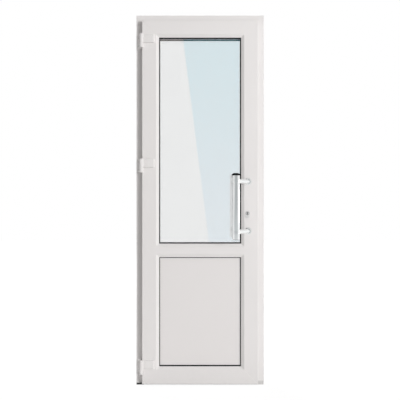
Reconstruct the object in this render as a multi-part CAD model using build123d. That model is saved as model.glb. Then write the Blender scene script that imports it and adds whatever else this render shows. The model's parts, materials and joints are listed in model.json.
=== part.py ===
from build123d import *
import os

os.makedirs("parts", exist_ok=True)

# A white, half-glazed uPVC entrance door in its frame, seen from outside along +Y.
# X runs to the right, Z up, and the origin is the middle of the threshold's underside.
# All lengths are in millimetres.

# Overall size
DOOR_WIDTH = 700.0
DOOR_HEIGHT = 2030.0
FRAME_DEPTH = 70.0
THRESHOLD_HEIGHT = 22.0

# Walls of the extruded profiles
WALL = 3.0
WEB = 2.5

# Outer frame profile
FRAME_REBATE_WIDTH = 40.5
FRAME_STOP_WIDTH = 62.0
FRAME_STOP_DEPTH = 18.0
FRAME_CORE_Y = (-17.0, 13.0)
COUPLING_GROOVE_Y = 21.0
COUPLING_GROOVE_DEPTH = 6.0

# Leaf profile, its width counted from the tip of the flange
FLANGE_REVEAL = 32.5
LEAF_BOTTOM_GAP = 10.0
LEAF_FACE_WIDTH = 94.5
FLANGE_WIDTH = 20.0
FLANGE_THICKNESS = 16.0
LEAF_DEPTH = 68.0
LEAF_PROUD = 21.0
LEAF_CORE_Y = (-40.5, -10.0)
GLAZING_LIP = 18.5
BEVEL_WIDTH = 17.5
BEVEL_DEPTH = 8.5
LIP_THICKNESS = 2.5
HARDWARE_GROOVE_WIDTH = 16.0
HARDWARE_GROOVE_DEPTH = 3.0
WELD_GROOVE = 0.7

# Mid rail
MID_RAIL_CENTRE_Z = 739.7
MID_RAIL_SIGHT_HEIGHT = 75.4

# Glass, panel and beads
GLAZING_SEAL_THICKNESS = 3.0
UNIT_THICKNESS = 28.0
PANE_THICKNESS = 4.0
UNIT_EDGE_GAP = 5.0
SPACER_WIDTH = 14.9
BEAD_DEPTH = 23.0
BEAD_NOSE = 9.0
BEAD_GAP = 0.15
BEAD_HOOK_Y = (-6.0, -2.0)
BEAD_HOOK_DEPTH = 3.5

# Seals
SEAL_ROOT = 3.0
SEAL_CLEARANCE = 0.6
GLASS_SEAL_NOSE = 4.4
PANEL_SEAL_NOSE = 3.5
INNER_SEAL_NOSE = -0.6
GLAZING_SEAL_EDGE = 5.0
GLAZING_SEAL_ROOT = 6.5

# Hinges
HINGE_TOPS = (1918.5, 1238.5, 141.0)
HINGE_HEIGHT = 72.0
HINGE_AXIS_X = -318.5
HINGE_AXIS_Y = -66.5
BARREL_RADIUS = 10.0
FRAME_KNUCKLE_HEIGHT = 26.0
KNUCKLE_GAP = 1.0
PIN_RADIUS = 4.0
PIN_CLEARANCE = 0.08
PIN_CAP = 4.0
HINGE_LEAF_PLATE_END_X = -247.0
HINGE_LEAF_PLATE_THICKNESS = 9.5
HINGE_LEAF_PLATE_SLOPE = 7.0
HINGE_PLATE_CHAMFER = 1.5
HINGE_FRAME_PLATE_X = (-346.0, -322.0)
HINGE_FRAME_PLATE_THICKNESS = 4.0
HINGE_ARM_GAP = 1.5

# Lock
CYLINDER_X = 259.0
PLUG_Z = 943.0
CYLINDER_RADIUS = 8.5
CYLINDER_TAIL_WIDTH = 10.0
CYLINDER_HEIGHT = 33.0
CYLINDER_PROUD = 4.0
PLUG_RADIUS = 6.5
PLUG_CLEARANCE = 0.08
PLUG_LENGTH = 30.0
KEYWAY_WIDTH = 3.0
KEYWAY_Z = (-5.6, 4.6)
RING_WIDTH = 25.0
RING_HEIGHT = 37.0
RING_THICKNESS = 3.0
FACEPLATE_Z = (860.0, 1150.0)
CASE_DEPTH = 50.0
CASE_MARGIN = 12.0
CASE_THICKNESS = 14.0
ROUTING_MARGIN = 3.0
ROLLER_Z = 1060.0
ROLLER_HEIGHT = 18.0
ROLLER_RADIUS = 6.5
ROLLER_PROUD = 5.0
BOLT_Z = 985.0
BOLT_HEIGHT = 36.0
BOLT_LENGTH = 30.0
BOLT_SUNK = 0.5
KEEP_WIDTH = 20.0
KEEP_THICKNESS = 2.0
KEEP_POCKET_WIDTH = 13.0
KEEP_MARGIN = 4.0

# Pull handles
HANDLE_ROOT_X = 262.6
HANDLE_CENTRE_Z = 981.0
BRACKET_SPACING = 270.0
BAR_LENGTH = 354.0
BAR_RADIUS = 20.0
BAR_OFFSET_X = -72.5
BAR_OFFSET_Y = 78.0
CAP_HEIGHT = 12.0
CAP_TOP_RADIUS = 15.0
FOOT_PLUG_HEIGHT = 2.0
FOOT_PLUG_RADIUS = 16.0
FOOT_RADIUS = 20.5
FOOT_HEIGHT = 9.0
ARM_RADIUS = 12.0

# Threshold
THRESHOLD_WALL = 2.0
THRESHOLD_STEP = 2.0
THRESHOLD_STEP_Y = 14.0
RIB_PITCH = 6.0
RIB_COUNT = 6
RIB_GROOVE = 1.0
PACKER_HEIGHT = 10.5

# Fixing holes through the jambs
FIXING_RADIUS = 4.0
FIXING_Y = -9.0
FIXING_HEIGHTS = (190.0, 740.0, 1290.0, 1840.0)

# Values that follow from the driving dimensions
FRAME_HALF = DOOR_WIDTH / 2
FRAME_OUTER_Y = -FRAME_DEPTH / 2
FRAME_INNER_Y = FRAME_DEPTH / 2
FRAME_STOP_Y = FRAME_INNER_Y - FRAME_STOP_DEPTH
REBATE_X = FRAME_HALF - FRAME_REBATE_WIDTH
LEAF_HALF = FRAME_HALF - FLANGE_REVEAL
LEAF_EDGE_X = LEAF_HALF - FLANGE_WIDTH
LEAF_BOTTOM = LEAF_BOTTOM_GAP
LEAF_TOP = DOOR_HEIGHT - FLANGE_REVEAL
LEAF_HEIGHT = LEAF_TOP - LEAF_BOTTOM
LEAF_OUTER_Y = FRAME_OUTER_Y - LEAF_PROUD
LEAF_INNER_Y = LEAF_OUTER_Y + LEAF_DEPTH
FLANGE_BACK_Y = LEAF_OUTER_Y + FLANGE_THICKNESS
GROOVE_MIDDLE_Y = -22.0
PLATFORM = LEAF_FACE_WIDTH - GLAZING_LIP
PLATFORM_HALF = LEAF_HALF - PLATFORM
LIP_FRONT_Y = LEAF_OUTER_Y + BEVEL_DEPTH
LIP_BACK_Y = LIP_FRONT_Y + LIP_THICKNESS
UNIT_OUTER_Y = LIP_BACK_Y + GLAZING_SEAL_THICKNESS
UNIT_INNER_Y = UNIT_OUTER_Y + UNIT_THICKNESS
BEAD_BACK_Y = LEAF_INNER_Y - BEAD_DEPTH
MID_SIGHT_HALF = MID_RAIL_SIGHT_HEIGHT / 2
MID_BODY_HALF = MID_SIGHT_HALF - GLAZING_LIP
UPPER_Z = (MID_RAIL_CENTRE_Z + MID_BODY_HALF, LEAF_TOP - PLATFORM)
LOWER_Z = (LEAF_BOTTOM + PLATFORM, MID_RAIL_CENTRE_Z - MID_BODY_HALF)
BAR_FOOT_Z = HANDLE_CENTRE_Z - BAR_LENGTH / 2 + FOOT_PLUG_HEIGHT
BAR_TOP_Z = HANDLE_CENTRE_Z + BAR_LENGTH / 2 - CAP_HEIGHT
BIG = 400.0


# Helpers


def polygon(points):
    """A flat face inside this closed outline."""
    return make_face(Polyline(*points, close=True))


def rectangle(x, y):
    """A flat rectangle between two limits on each axis."""
    middle = Pos((x[0] + x[1]) / 2, (y[0] + y[1]) / 2)
    return middle * Rectangle(x[1] - x[0], y[1] - y[0])


def box(x, y, z):
    """A box between two limits on each axis."""
    middle = [(low + high) / 2 for low, high in (x, y, z)]
    size = [high - low for low, high in (x, y, z)]
    return Pos(*middle) * Box(*size)


def around(middle, width):
    """The limits of a stretch of this width about its middle."""
    return (middle - width / 2, middle + width / 2)


def rounded(face, corners, radius):
    """The face with the named corners rounded."""
    chosen = []
    for vertex in face.vertices():
        for x, y in corners:
            if abs(vertex.X - x) < 0.01 and abs(vertex.Y - y) < 0.01:
                chosen.append(vertex)
    return fillet(chosen, radius)


def cylinder_y(radius, x, z, y_from, y_to):
    """A round bar along y."""
    middle = Pos(x, (y_from + y_to) / 2, z)
    return middle * Rot(90, 0, 0) * Cylinder(radius, y_to - y_from)


def cylinder_z(radius, x, y, z_from, z_to):
    """A round bar along z."""
    return Pos(x, y, (z_from + z_to) / 2) * Cylinder(radius, z_to - z_from)


def front_block(outline):
    """A block through the whole depth of the door, from an outline seen from outside."""
    return extrude(Plane.XZ * outline, BIG, both=True)


def ring(half_width, z, width, y, nose_radius=0.0):
    """A rectangular ring in the plane of the door, with the outside of its inner edge rounded where asked."""
    middle = Plane(origin=(0, y[0], (z[0] + z[1]) / 2), x_dir=(1, 0, 0), z_dir=(0, 1, 0))
    height = z[1] - z[0]
    outer = Rectangle(2 * half_width, height)
    inner = Rectangle(2 * (half_width - width), height - 2 * width)
    shape = extrude(middle * (outer - inner), y[1] - y[0])
    if nose_radius == 0:
        return shape
    inside = half_width - width + 0.01
    edges = []
    for edge in shape.edges():
        limits = edge.bounding_box()
        if limits.max.X < inside and limits.min.X > -inside and limits.max.Y < y[0] + 0.01:
            edges.append(edge)
    return fillet(edges, nose_radius)


# Mitred bars


def bar(section, length, start_mitred=True, end_mitred=True, gap=0.0):
    """A bar of this section standing along z. A mitred end slopes back at 45 degrees towards +x."""
    low = polygon([(-BIG, gap - BIG), (BIG, gap + BIG), (BIG, -BIG), (-BIG, -BIG)])
    high = polygon([(-BIG, BIG - gap), (BIG, -BIG - gap), (BIG, BIG), (-BIG, BIG)])
    shape = extrude(section, length)
    if start_mitred:
        shape -= front_block(low)
    if end_mitred:
        shape -= Pos(0, 0, length) * front_block(high)
    return shape


def left_bar(shape, x, z_low):
    return Pos(x, 0, z_low) * shape


def right_bar(shape, x, z_high):
    return Pos(x, 0, z_high) * Rot(0, 180, 0) * shape


def top_bar(shape, x_left, z):
    return Pos(x_left, 0, z) * Rot(0, 90, 0) * shape


def bottom_bar(shape, x_right, z):
    return Pos(x_right, 0, z) * Rot(0, -90, 0) * shape


def weld_groove(start, end):
    """A cutter for the fine groove that is left where a weld between two bars is cleaned off."""
    along = Vector(*end) - Vector(*start)
    across = along.cross(Vector(0, 1, 0))
    section = Plane(origin=start, x_dir=across, z_dir=along) * Rectangle(WELD_GROOVE, WELD_GROOVE, rotation=45)
    return extrude(section, along.length)


# Outer frame


def frame_section():
    """Outer frame, x from the wall towards the leaf and y from outside to inside. The core is left solid, where
    the real bar is filled by its steel reinforcement."""
    face = polygon(
        [
            (0, FRAME_OUTER_Y),
            (FRAME_REBATE_WIDTH, FRAME_OUTER_Y),
            (FRAME_REBATE_WIDTH, FRAME_STOP_Y),
            (FRAME_STOP_WIDTH, FRAME_STOP_Y),
            (FRAME_STOP_WIDTH, FRAME_INNER_Y),
            (0, FRAME_INNER_Y),
        ]
    )
    shown_corners = [
        (FRAME_REBATE_WIDTH, FRAME_OUTER_Y),
        (FRAME_STOP_WIDTH, FRAME_STOP_Y),
        (FRAME_STOP_WIDTH, FRAME_INNER_Y),
    ]
    face = rounded(face, shown_corners, 1.5)

    groove_end = FRAME_STOP_Y + SEAL_ROOT
    face -= rectangle(around(FRAME_STOP_WIDTH - 5.0, SEAL_ROOT), (FRAME_STOP_Y, groove_end))
    mouth = COUPLING_GROOVE_DEPTH / 2
    for y in (-COUPLING_GROOVE_Y, COUPLING_GROOVE_Y):
        face -= rectangle((0, mouth), around(y, 6.0))
        face -= rectangle((mouth, COUPLING_GROOVE_DEPTH), around(y, 10.0))

    chamber_x = (COUPLING_GROOVE_DEPTH + WALL, FRAME_REBATE_WIDTH - WALL)
    face -= rectangle(chamber_x, (FRAME_OUTER_Y + WALL, FRAME_CORE_Y[0] - WEB))
    face -= rectangle(chamber_x, (FRAME_CORE_Y[1] + WEB, FRAME_INNER_Y - WALL))
    stop_x = (FRAME_REBATE_WIDTH, FRAME_STOP_WIDTH - WALL)
    return face - rectangle(stop_x, (groove_end + WEB, FRAME_INNER_Y - WALL))


def frame_welds(side):
    """Cutters along the mitre at one top corner, on the outer and the inner face."""
    corner = (side * FRAME_HALF, DOOR_HEIGHT)
    cutters = []
    for y, width in ((FRAME_OUTER_Y, FRAME_REBATE_WIDTH), (FRAME_INNER_Y, FRAME_STOP_WIDTH)):
        start = (corner[0], y, corner[1])
        end = (corner[0] - side * width, y, corner[1] - width)
        cutters.append(weld_groove(start, end))
    return cutters


def jamb(side):
    length = DOOR_HEIGHT - THRESHOLD_HEIGHT
    if side < 0:
        shape = left_bar(bar(frame_section(), length, start_mitred=False), -FRAME_HALF, THRESHOLD_HEIGHT)
    else:
        shape = right_bar(bar(frame_section(), length, end_mitred=False), FRAME_HALF, DOOR_HEIGHT)
    for z in FIXING_HEIGHTS:
        hole = Rot(0, 90, 0) * Cylinder(FIXING_RADIUS, 2 * FRAME_STOP_WIDTH)
        shape -= Pos(side * FRAME_HALF, FIXING_Y, z) * hole
    return shape - frame_welds(side)


def lock_jamb():
    """The jamb on the lock side, with the keep let in and pockets behind its openings."""
    shape = jamb(1) - keep_plate() - keep_pockets()
    return shape


def frame_head():
    shape = top_bar(bar(frame_section(), DOOR_WIDTH), -FRAME_HALF, DOOR_HEIGHT)
    return shape - frame_welds(-1) - frame_welds(1)


def threshold():
    """Aluminium threshold: hollow, with ribs to tread on outside and a step up inside."""
    top = THRESHOLD_HEIGHT - THRESHOLD_STEP
    section = polygon(
        [
            (FRAME_OUTER_Y, 0),
            (FRAME_OUTER_Y, top - 1.5),
            (FRAME_OUTER_Y + 1.5, top),
            (THRESHOLD_STEP_Y, top),
            (THRESHOLD_STEP_Y + THRESHOLD_STEP, THRESHOLD_HEIGHT),
            (FRAME_INNER_Y, THRESHOLD_HEIGHT),
            (FRAME_INNER_Y, 0),
        ]
    )
    for count in range(RIB_COUNT):
        middle = FRAME_OUTER_Y + 9.0 + count * RIB_PITCH
        section -= rectangle(around(middle, RIB_PITCH / 2), (top - RIB_GROOVE, top))
    chamber_z = (THRESHOLD_WALL, top - RIB_GROOVE - THRESHOLD_WALL)
    section -= rectangle((FRAME_OUTER_Y + THRESHOLD_WALL, -THRESHOLD_WALL), chamber_z)
    section -= rectangle((0, FRAME_INNER_Y - THRESHOLD_WALL), chamber_z)
    return extrude(Plane.YZ * section, REBATE_X, both=True)


def threshold_joiner(side):
    """Moulded block under a jamb, with shallow grooves down its outer face."""
    x = sorted((side * REBATE_X, side * FRAME_HALF))
    z_low = PACKER_HEIGHT if side < 0 else 0.0
    shape = box(x, (FRAME_OUTER_Y, FRAME_INNER_Y), (z_low, THRESHOLD_HEIGHT))
    for step in (-1, 0, 1):
        middle = (x[0] + x[1]) / 2 + step * 10.0
        shape -= box(around(middle, 4.0), around(FRAME_OUTER_Y, 2.0), (z_low + 2, THRESHOLD_HEIGHT - 2))
    return shape


def hinge_side_packer():
    """Packer under the hinge jamb, which carries the leaf's weight."""
    return box((-FRAME_HALF, -REBATE_X), (FRAME_OUTER_Y, FRAME_INNER_Y), (0, PACKER_HEIGHT))


def frame_seal():
    """The seal on the inner stop: up one jamb, along the head and down the other."""
    root_edge = FRAME_STOP_WIDTH - 5.0 - SEAL_ROOT / 2
    nose_edge = root_edge - 1.5
    root_y = (FRAME_STOP_Y, FRAME_STOP_Y + SEAL_ROOT)
    nose_y = (LEAF_INNER_Y + SEAL_CLEARANCE, FRAME_STOP_Y)
    shape = ring(FRAME_HALF - root_edge, (-BIG, DOOR_HEIGHT - root_edge), SEAL_ROOT, root_y)
    shape += ring(FRAME_HALF - nose_edge, (-BIG, DOOR_HEIGHT - nose_edge), 6.0, nose_y, 2.0)
    return shape & box((-BIG, BIG), (-BIG, BIG), (THRESHOLD_HEIGHT, DOOR_HEIGHT))


# Door leaf


def leaf_section():
    """Leaf profile, x from the flange's tip towards the glass and y from outside to inside."""
    face = polygon(
        [
            (0, LEAF_OUTER_Y),
            (LEAF_FACE_WIDTH - BEVEL_WIDTH, LEAF_OUTER_Y),
            (LEAF_FACE_WIDTH, LIP_FRONT_Y),
            (LEAF_FACE_WIDTH, LIP_BACK_Y),
            (PLATFORM, LIP_BACK_Y),
            (PLATFORM, LEAF_INNER_Y),
            (FLANGE_WIDTH, LEAF_INNER_Y),
            (FLANGE_WIDTH, FLANGE_BACK_Y),
            (0, FLANGE_BACK_Y),
        ]
    )
    face = rounded(face, [(0, LEAF_OUTER_Y), (FLANGE_WIDTH, LEAF_INNER_Y)], 3.0)
    face = rounded(face, [(0, FLANGE_BACK_Y)], 1.0)

    hardware_x = (FLANGE_WIDTH, FLANGE_WIDTH + HARDWARE_GROOVE_DEPTH)
    face -= rectangle(hardware_x, around(GROOVE_MIDDLE_Y, HARDWARE_GROOVE_WIDTH))
    face -= rectangle(around(5.0, SEAL_ROOT), (FLANGE_BACK_Y - SEAL_ROOT, FLANGE_BACK_Y))
    face -= rectangle(around(PLATFORM + GLAZING_SEAL_ROOT, SEAL_ROOT), (LIP_BACK_Y - SEAL_ROOT, LIP_BACK_Y))
    face -= rectangle((PLATFORM - BEAD_HOOK_DEPTH, PLATFORM), BEAD_HOOK_Y)

    front_y = (LEAF_OUTER_Y + WALL, LEAF_CORE_Y[0] - WEB)
    back_y = (LEAF_CORE_Y[1] + WEB, LEAF_INNER_Y - WALL)
    chamber_x = (hardware_x[1] + WALL, PLATFORM - BEAD_HOOK_DEPTH - WALL)
    face -= rectangle((SEAL_ROOT * 3, FLANGE_WIDTH), front_y)
    face -= rectangle((chamber_x[0], PLATFORM - WALL), front_y)
    face -= rectangle(chamber_x, LEAF_CORE_Y)
    return face - rectangle(chamber_x, back_y)


def mid_rail_section():
    """Mid rail, x across its height and y from outside to inside."""
    half = [
        (MID_SIGHT_HALF - BEVEL_WIDTH, LEAF_OUTER_Y),
        (MID_SIGHT_HALF, LIP_FRONT_Y),
        (MID_SIGHT_HALF, LIP_BACK_Y),
        (MID_BODY_HALF, LIP_BACK_Y),
        (MID_BODY_HALF, LEAF_INNER_Y),
    ]
    other_half = [(-x, y) for x, y in reversed(half)]
    face = polygon(half + other_half)
    chamber_half = MID_BODY_HALF - BEAD_HOOK_DEPTH - WALL
    chamber_x = (-chamber_half, chamber_half)
    face -= rectangle(chamber_x, (LEAF_OUTER_Y + WALL, LEAF_CORE_Y[0] - WEB))
    face -= rectangle(chamber_x, LEAF_CORE_Y)
    face -= rectangle(chamber_x, (LEAF_CORE_Y[1] + WEB, LEAF_INNER_Y - WALL))
    for side in (-1, 1):
        hook_x = sorted((side * (MID_BODY_HALF - BEAD_HOOK_DEPTH), side * MID_BODY_HALF))
        face -= rectangle(hook_x, BEAD_HOOK_Y)
        root = side * (MID_BODY_HALF + GLAZING_SEAL_ROOT)
        face -= rectangle(around(root, SEAL_ROOT), (LIP_BACK_Y - SEAL_ROOT, LIP_BACK_Y))
    return face


def mid_rail_outline():
    """The mid rail's front view with pointed ends, as a block to cut with."""
    sight_x = LEAF_HALF - LEAF_FACE_WIDTH
    outline = polygon(
        [
            (-PLATFORM_HALF, -MID_BODY_HALF),
            (-sight_x, -MID_SIGHT_HALF),
            (sight_x, -MID_SIGHT_HALF),
            (PLATFORM_HALF, -MID_BODY_HALF),
            (PLATFORM_HALF, MID_BODY_HALF),
            (sight_x, MID_SIGHT_HALF),
            (-sight_x, MID_SIGHT_HALF),
            (-PLATFORM_HALF, MID_BODY_HALF),
        ]
    )
    return Pos(0, 0, MID_RAIL_CENTRE_Z) * front_block(outline)


def mid_rail():
    shape = extrude(mid_rail_section(), 2 * LEAF_HALF)
    shape = Pos(-LEAF_HALF, 0, MID_RAIL_CENTRE_Z) * Rot(0, 90, 0) * shape
    return shape & mid_rail_outline()


def leaf_welds(side_x, side_z):
    """Cutters along the mitre at one corner of the leaf: face, bevel and inner face."""
    x = side_x * LEAF_HALF
    z = LEAF_TOP if side_z > 0 else LEAF_BOTTOM
    stretches = (
        ((0, LEAF_OUTER_Y), (LEAF_FACE_WIDTH - BEVEL_WIDTH, LEAF_OUTER_Y)),
        ((LEAF_FACE_WIDTH - BEVEL_WIDTH, LEAF_OUTER_Y), (LEAF_FACE_WIDTH, LIP_FRONT_Y)),
        ((FLANGE_WIDTH, LEAF_INNER_Y), (PLATFORM, LEAF_INNER_Y)),
    )
    cutters = []
    for (near, near_y), (far, far_y) in stretches:
        start = (x - side_x * near, near_y, z - side_z * near)
        end = (x - side_x * far, far_y, z - side_z * far)
        cutters.append(weld_groove(start, end))
    return cutters


def stile(side):
    if side < 0:
        shape = left_bar(bar(leaf_section(), LEAF_HEIGHT), -LEAF_HALF, LEAF_BOTTOM)
    else:
        shape = right_bar(bar(leaf_section(), LEAF_HEIGHT), LEAF_HALF, LEAF_TOP)
    shape -= mid_rail_outline()
    return shape - leaf_welds(side, -1) - leaf_welds(side, 1)


def lock_stile():
    """The stile on the lock side, routed for the lock case and bored for its cylinder."""
    shape = stile(1) - cylinder_profile((LEAF_OUTER_Y - 1, LEAF_INNER_Y + 1))
    return shape - case_block() - cylinder_routing()


def top_rail():
    shape = top_bar(bar(leaf_section(), 2 * LEAF_HALF), -LEAF_HALF, LEAF_TOP)
    return shape - leaf_welds(-1, 1) - leaf_welds(1, 1)


def bottom_rail():
    shape = bottom_bar(bar(leaf_section(), 2 * LEAF_HALF), LEAF_HALF, LEAF_BOTTOM)
    return shape - leaf_welds(-1, -1) - leaf_welds(1, -1)


def leaf_seal():
    """The seal behind the flange, all round the leaf."""
    root_edge = 5.0 - SEAL_ROOT / 2
    nose_edge = root_edge - 1.0
    root_y = (FLANGE_BACK_Y - SEAL_ROOT, FLANGE_BACK_Y)
    nose_y = (FLANGE_BACK_Y, FRAME_OUTER_Y - SEAL_CLEARANCE)
    shape = ring(LEAF_HALF - root_edge, (LEAF_BOTTOM + root_edge, LEAF_TOP - root_edge), SEAL_ROOT, root_y)
    return shape + ring(LEAF_HALF - nose_edge, (LEAF_BOTTOM + nose_edge, LEAF_TOP - nose_edge), 5.0, nose_y)


# Glass, panel, beads and their seals


def unit_block(z, y):
    """A sheet that fills a glazing rebate but for the gap round its edge."""
    half = PLATFORM_HALF - UNIT_EDGE_GAP
    return box((-half, half), y, (z[0] + UNIT_EDGE_GAP, z[1] - UNIT_EDGE_GAP))


def glass_spacer():
    """The spacer bar between the panes, with the sealant behind it."""
    z = (UPPER_Z[0] + UNIT_EDGE_GAP, UPPER_Z[1] - UNIT_EDGE_GAP)
    y = (UNIT_OUTER_Y + PANE_THICKNESS, UNIT_INNER_Y - PANE_THICKNESS)
    return ring(PLATFORM_HALF - UNIT_EDGE_GAP, z, SPACER_WIDTH, y)


def glazing_seal(z, y, nose):
    """The flat part of a glazing seal, whose nose stands this far past the sight line."""
    zone = (z[0] + GLAZING_SEAL_EDGE, z[1] - GLAZING_SEAL_EDGE)
    width = GLAZING_LIP - GLAZING_SEAL_EDGE + nose
    return ring(PLATFORM_HALF - GLAZING_SEAL_EDGE, zone, width, y, 1.4)


def outer_glazing_seal(z, nose):
    """The seal between the lip and the unit, with its root in the lip's groove."""
    root_edge = GLAZING_SEAL_ROOT - SEAL_ROOT / 2
    root_z = (z[0] + root_edge, z[1] - root_edge)
    root = ring(PLATFORM_HALF - root_edge, root_z, SEAL_ROOT, (LIP_BACK_Y - SEAL_ROOT, LIP_BACK_Y))
    return root + glazing_seal(z, (LIP_BACK_Y, UNIT_OUTER_Y), nose)


def bead_section():
    """Hollow glazing bead with its hook, x from the rebate towards the glass."""
    face = polygon(
        [
            (0, BEAD_BACK_Y),
            (GLAZING_LIP, BEAD_BACK_Y),
            (GLAZING_LIP, LEAF_INNER_Y - BEAD_NOSE * 1.4),
            (GLAZING_LIP - BEAD_NOSE, LEAF_INNER_Y),
            (0, LEAF_INNER_Y),
            (0, BEAD_HOOK_Y[1]),
            (-BEAD_HOOK_DEPTH, BEAD_HOOK_Y[1]),
            (-BEAD_HOOK_DEPTH, BEAD_HOOK_Y[0]),
            (0, BEAD_HOOK_Y[0]),
        ]
    )
    face = rounded(face, [(GLAZING_LIP - BEAD_NOSE, LEAF_INNER_Y)], 6.0)
    return face - rectangle((WALL, GLAZING_LIP - BEAD_NOSE), (BEAD_BACK_Y + WALL, LEAF_INNER_Y - WALL))


def beads(z):
    """Four mitred beads round one rebate."""
    upright = bar(bead_section(), z[1] - z[0], gap=BEAD_GAP)
    level = bar(bead_section(), 2 * PLATFORM_HALF, gap=BEAD_GAP)
    return Compound(
        [
            left_bar(upright, -PLATFORM_HALF, z[0]),
            right_bar(upright, PLATFORM_HALF, z[1]),
            top_bar(level, -PLATFORM_HALF, z[1]),
            bottom_bar(level, PLATFORM_HALF, z[0]),
        ]
    )


# Hinges


def hinge_frame_part(z_top):
    """Plate on the jamb, an arm past the leaf's edge, the lower knuckle and the pin pressed into it."""
    z_low = z_top - HINGE_HEIGHT
    knuckle_top = z_low + FRAME_KNUCKLE_HEIGHT
    plate_y = (FRAME_OUTER_Y - HINGE_FRAME_PLATE_THICKNESS, FRAME_OUTER_Y)
    plate = box(HINGE_FRAME_PLATE_X, plate_y, (z_low, z_top))
    plate = chamfer(plate.edges().group_by(Axis.Y)[0], HINGE_PLATE_CHAMFER)
    arm_x = (HINGE_AXIS_X - BARREL_RADIUS + 1, HINGE_AXIS_X - HINGE_ARM_GAP)
    arm = box(arm_x, (HINGE_AXIS_Y, plate_y[1]), (z_low, knuckle_top))
    barrel = cylinder_z(BARREL_RADIUS, HINGE_AXIS_X, HINGE_AXIS_Y, z_low, knuckle_top)
    pin_top = z_top - PIN_CAP - KNUCKLE_GAP
    pin = cylinder_z(PIN_RADIUS, HINGE_AXIS_X, HINGE_AXIS_Y, z_low, pin_top)
    return plate + arm + barrel + pin


def hinge_leaf_part(z_top):
    """Cover plate on the leaf with the upper knuckle."""
    z_low = z_top - HINGE_HEIGHT + FRAME_KNUCKLE_HEIGHT + KNUCKLE_GAP
    front_y = LEAF_OUTER_Y - HINGE_LEAF_PLATE_THICKNESS
    end_x = HINGE_LEAF_PLATE_END_X
    outline = polygon(
        [
            (HINGE_AXIS_X, LEAF_OUTER_Y),
            (HINGE_AXIS_X, front_y),
            (end_x - HINGE_LEAF_PLATE_SLOPE, front_y),
            (end_x - HINGE_LEAF_PLATE_SLOPE / 3, (front_y + LEAF_OUTER_Y) / 2),
            (end_x, LEAF_OUTER_Y),
        ]
    )
    plate = Pos(0, 0, z_low) * extrude(outline, z_top - z_low)
    plate = chamfer(plate.edges().filter_by(Axis.X).group_by(Axis.Y)[0], HINGE_PLATE_CHAMFER)
    barrel = cylinder_z(BARREL_RADIUS, HINGE_AXIS_X, HINGE_AXIS_Y, z_low, z_top)
    bore = PIN_RADIUS + PIN_CLEARANCE
    return plate + barrel - cylinder_z(bore, HINGE_AXIS_X, HINGE_AXIS_Y, z_low - 1, z_top - PIN_CAP)


# Lock


def cylinder_profile(y):
    """The profile of a lock cylinder: a round barrel with a narrower tail below it."""
    half = CYLINDER_TAIL_WIDTH / 2
    tail_z = PLUG_Z + CYLINDER_RADIUS - CYLINDER_HEIGHT + half
    shape = cylinder_y(CYLINDER_RADIUS, CYLINDER_X, PLUG_Z, *y)
    shape += box(around(CYLINDER_X, CYLINDER_TAIL_WIDTH), y, (tail_z, PLUG_Z))
    return shape + cylinder_y(half, CYLINDER_X, tail_z, *y)


def lock_cylinder():
    """Double cylinder: a bore for the outer plug, and a keyway cut in the inner end."""
    front = LEAF_OUTER_Y - CYLINDER_PROUD
    back = LEAF_INNER_Y + CYLINDER_PROUD
    shape = cylinder_profile((front, back))
    bore = PLUG_RADIUS + PLUG_CLEARANCE
    shape -= cylinder_y(bore, CYLINDER_X, PLUG_Z, front - 1, front + PLUG_LENGTH + 0.1)
    inner_keyway = box(around(0, KEYWAY_WIDTH), (back - PLUG_LENGTH, back + 1), KEYWAY_Z)
    return shape - Pos(CYLINDER_X, 0, PLUG_Z) * inner_keyway


def key_plug():
    front = LEAF_OUTER_Y - CYLINDER_PROUD
    shape = cylinder_y(PLUG_RADIUS, CYLINDER_X, PLUG_Z, front, front + PLUG_LENGTH)
    keyway = box(around(0, KEYWAY_WIDTH), (front - 1, front + PLUG_LENGTH - 4), KEYWAY_Z)
    return shape - Pos(CYLINDER_X, 0, PLUG_Z) * keyway


def cylinder_ring(y):
    """The oval ring round the cylinder."""
    centre_z = PLUG_Z + CYLINDER_RADIUS - CYLINDER_HEIGHT / 2
    oval = SlotOverall(RING_HEIGHT, RING_WIDTH, rotation=90)
    shape = extrude(Plane.XZ * oval, (y[1] - y[0]) / 2, both=True)
    shape = Pos(CYLINDER_X, sum(y) / 2, centre_z) * shape
    return shape - cylinder_profile((y[0] - 1, y[1] + 1))


def roller_pocket():
    x = (LEAF_EDGE_X - 16, LEAF_EDGE_X + 1)
    z = (ROLLER_Z - ROLLER_HEIGHT / 2, ROLLER_Z + ROLLER_HEIGHT / 2 + 0.5)
    return box(x, around(GROOVE_MIDDLE_Y, 2 * ROLLER_RADIUS), z)


def bolt_block(front_x):
    """The deadbolt, withdrawn, as far as this plane."""
    x = (LEAF_EDGE_X - BOLT_SUNK - BOLT_LENGTH, front_x)
    return box(x, around(GROOVE_MIDDLE_Y, 11.0), around(BOLT_Z, BOLT_HEIGHT))


def case_block():
    x_front = LEAF_EDGE_X - HARDWARE_GROOVE_DEPTH
    z = (FACEPLATE_Z[0] + CASE_MARGIN, FACEPLATE_Z[1] - CASE_MARGIN)
    return box((x_front - CASE_DEPTH, x_front), around(GROOVE_MIDDLE_Y, CASE_THICKNESS), z)


def cylinder_routing():
    """The room cut round the cylinder inside the stile, between the front and the back wall."""
    x = around(CYLINDER_X, 2 * (CYLINDER_RADIUS + ROUTING_MARGIN))
    z_high = PLUG_Z + CYLINDER_RADIUS + ROUTING_MARGIN
    z_low = PLUG_Z + CYLINDER_RADIUS - CYLINDER_HEIGHT - ROUTING_MARGIN
    return box(x, (LEAF_OUTER_Y + WALL, LEAF_INNER_Y - WALL), (z_low, z_high))


def lock_case():
    return case_block() - roller_pocket() - bolt_block(LEAF_EDGE_X) - cylinder_routing()


def rounded_plate(x, y, z):
    """An upright plate across x with its ends rounded."""
    shape = box(x, y, z)
    return fillet(shape.edges().filter_by(Axis.X), (y[1] - y[0]) / 2 - 0.1)


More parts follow.
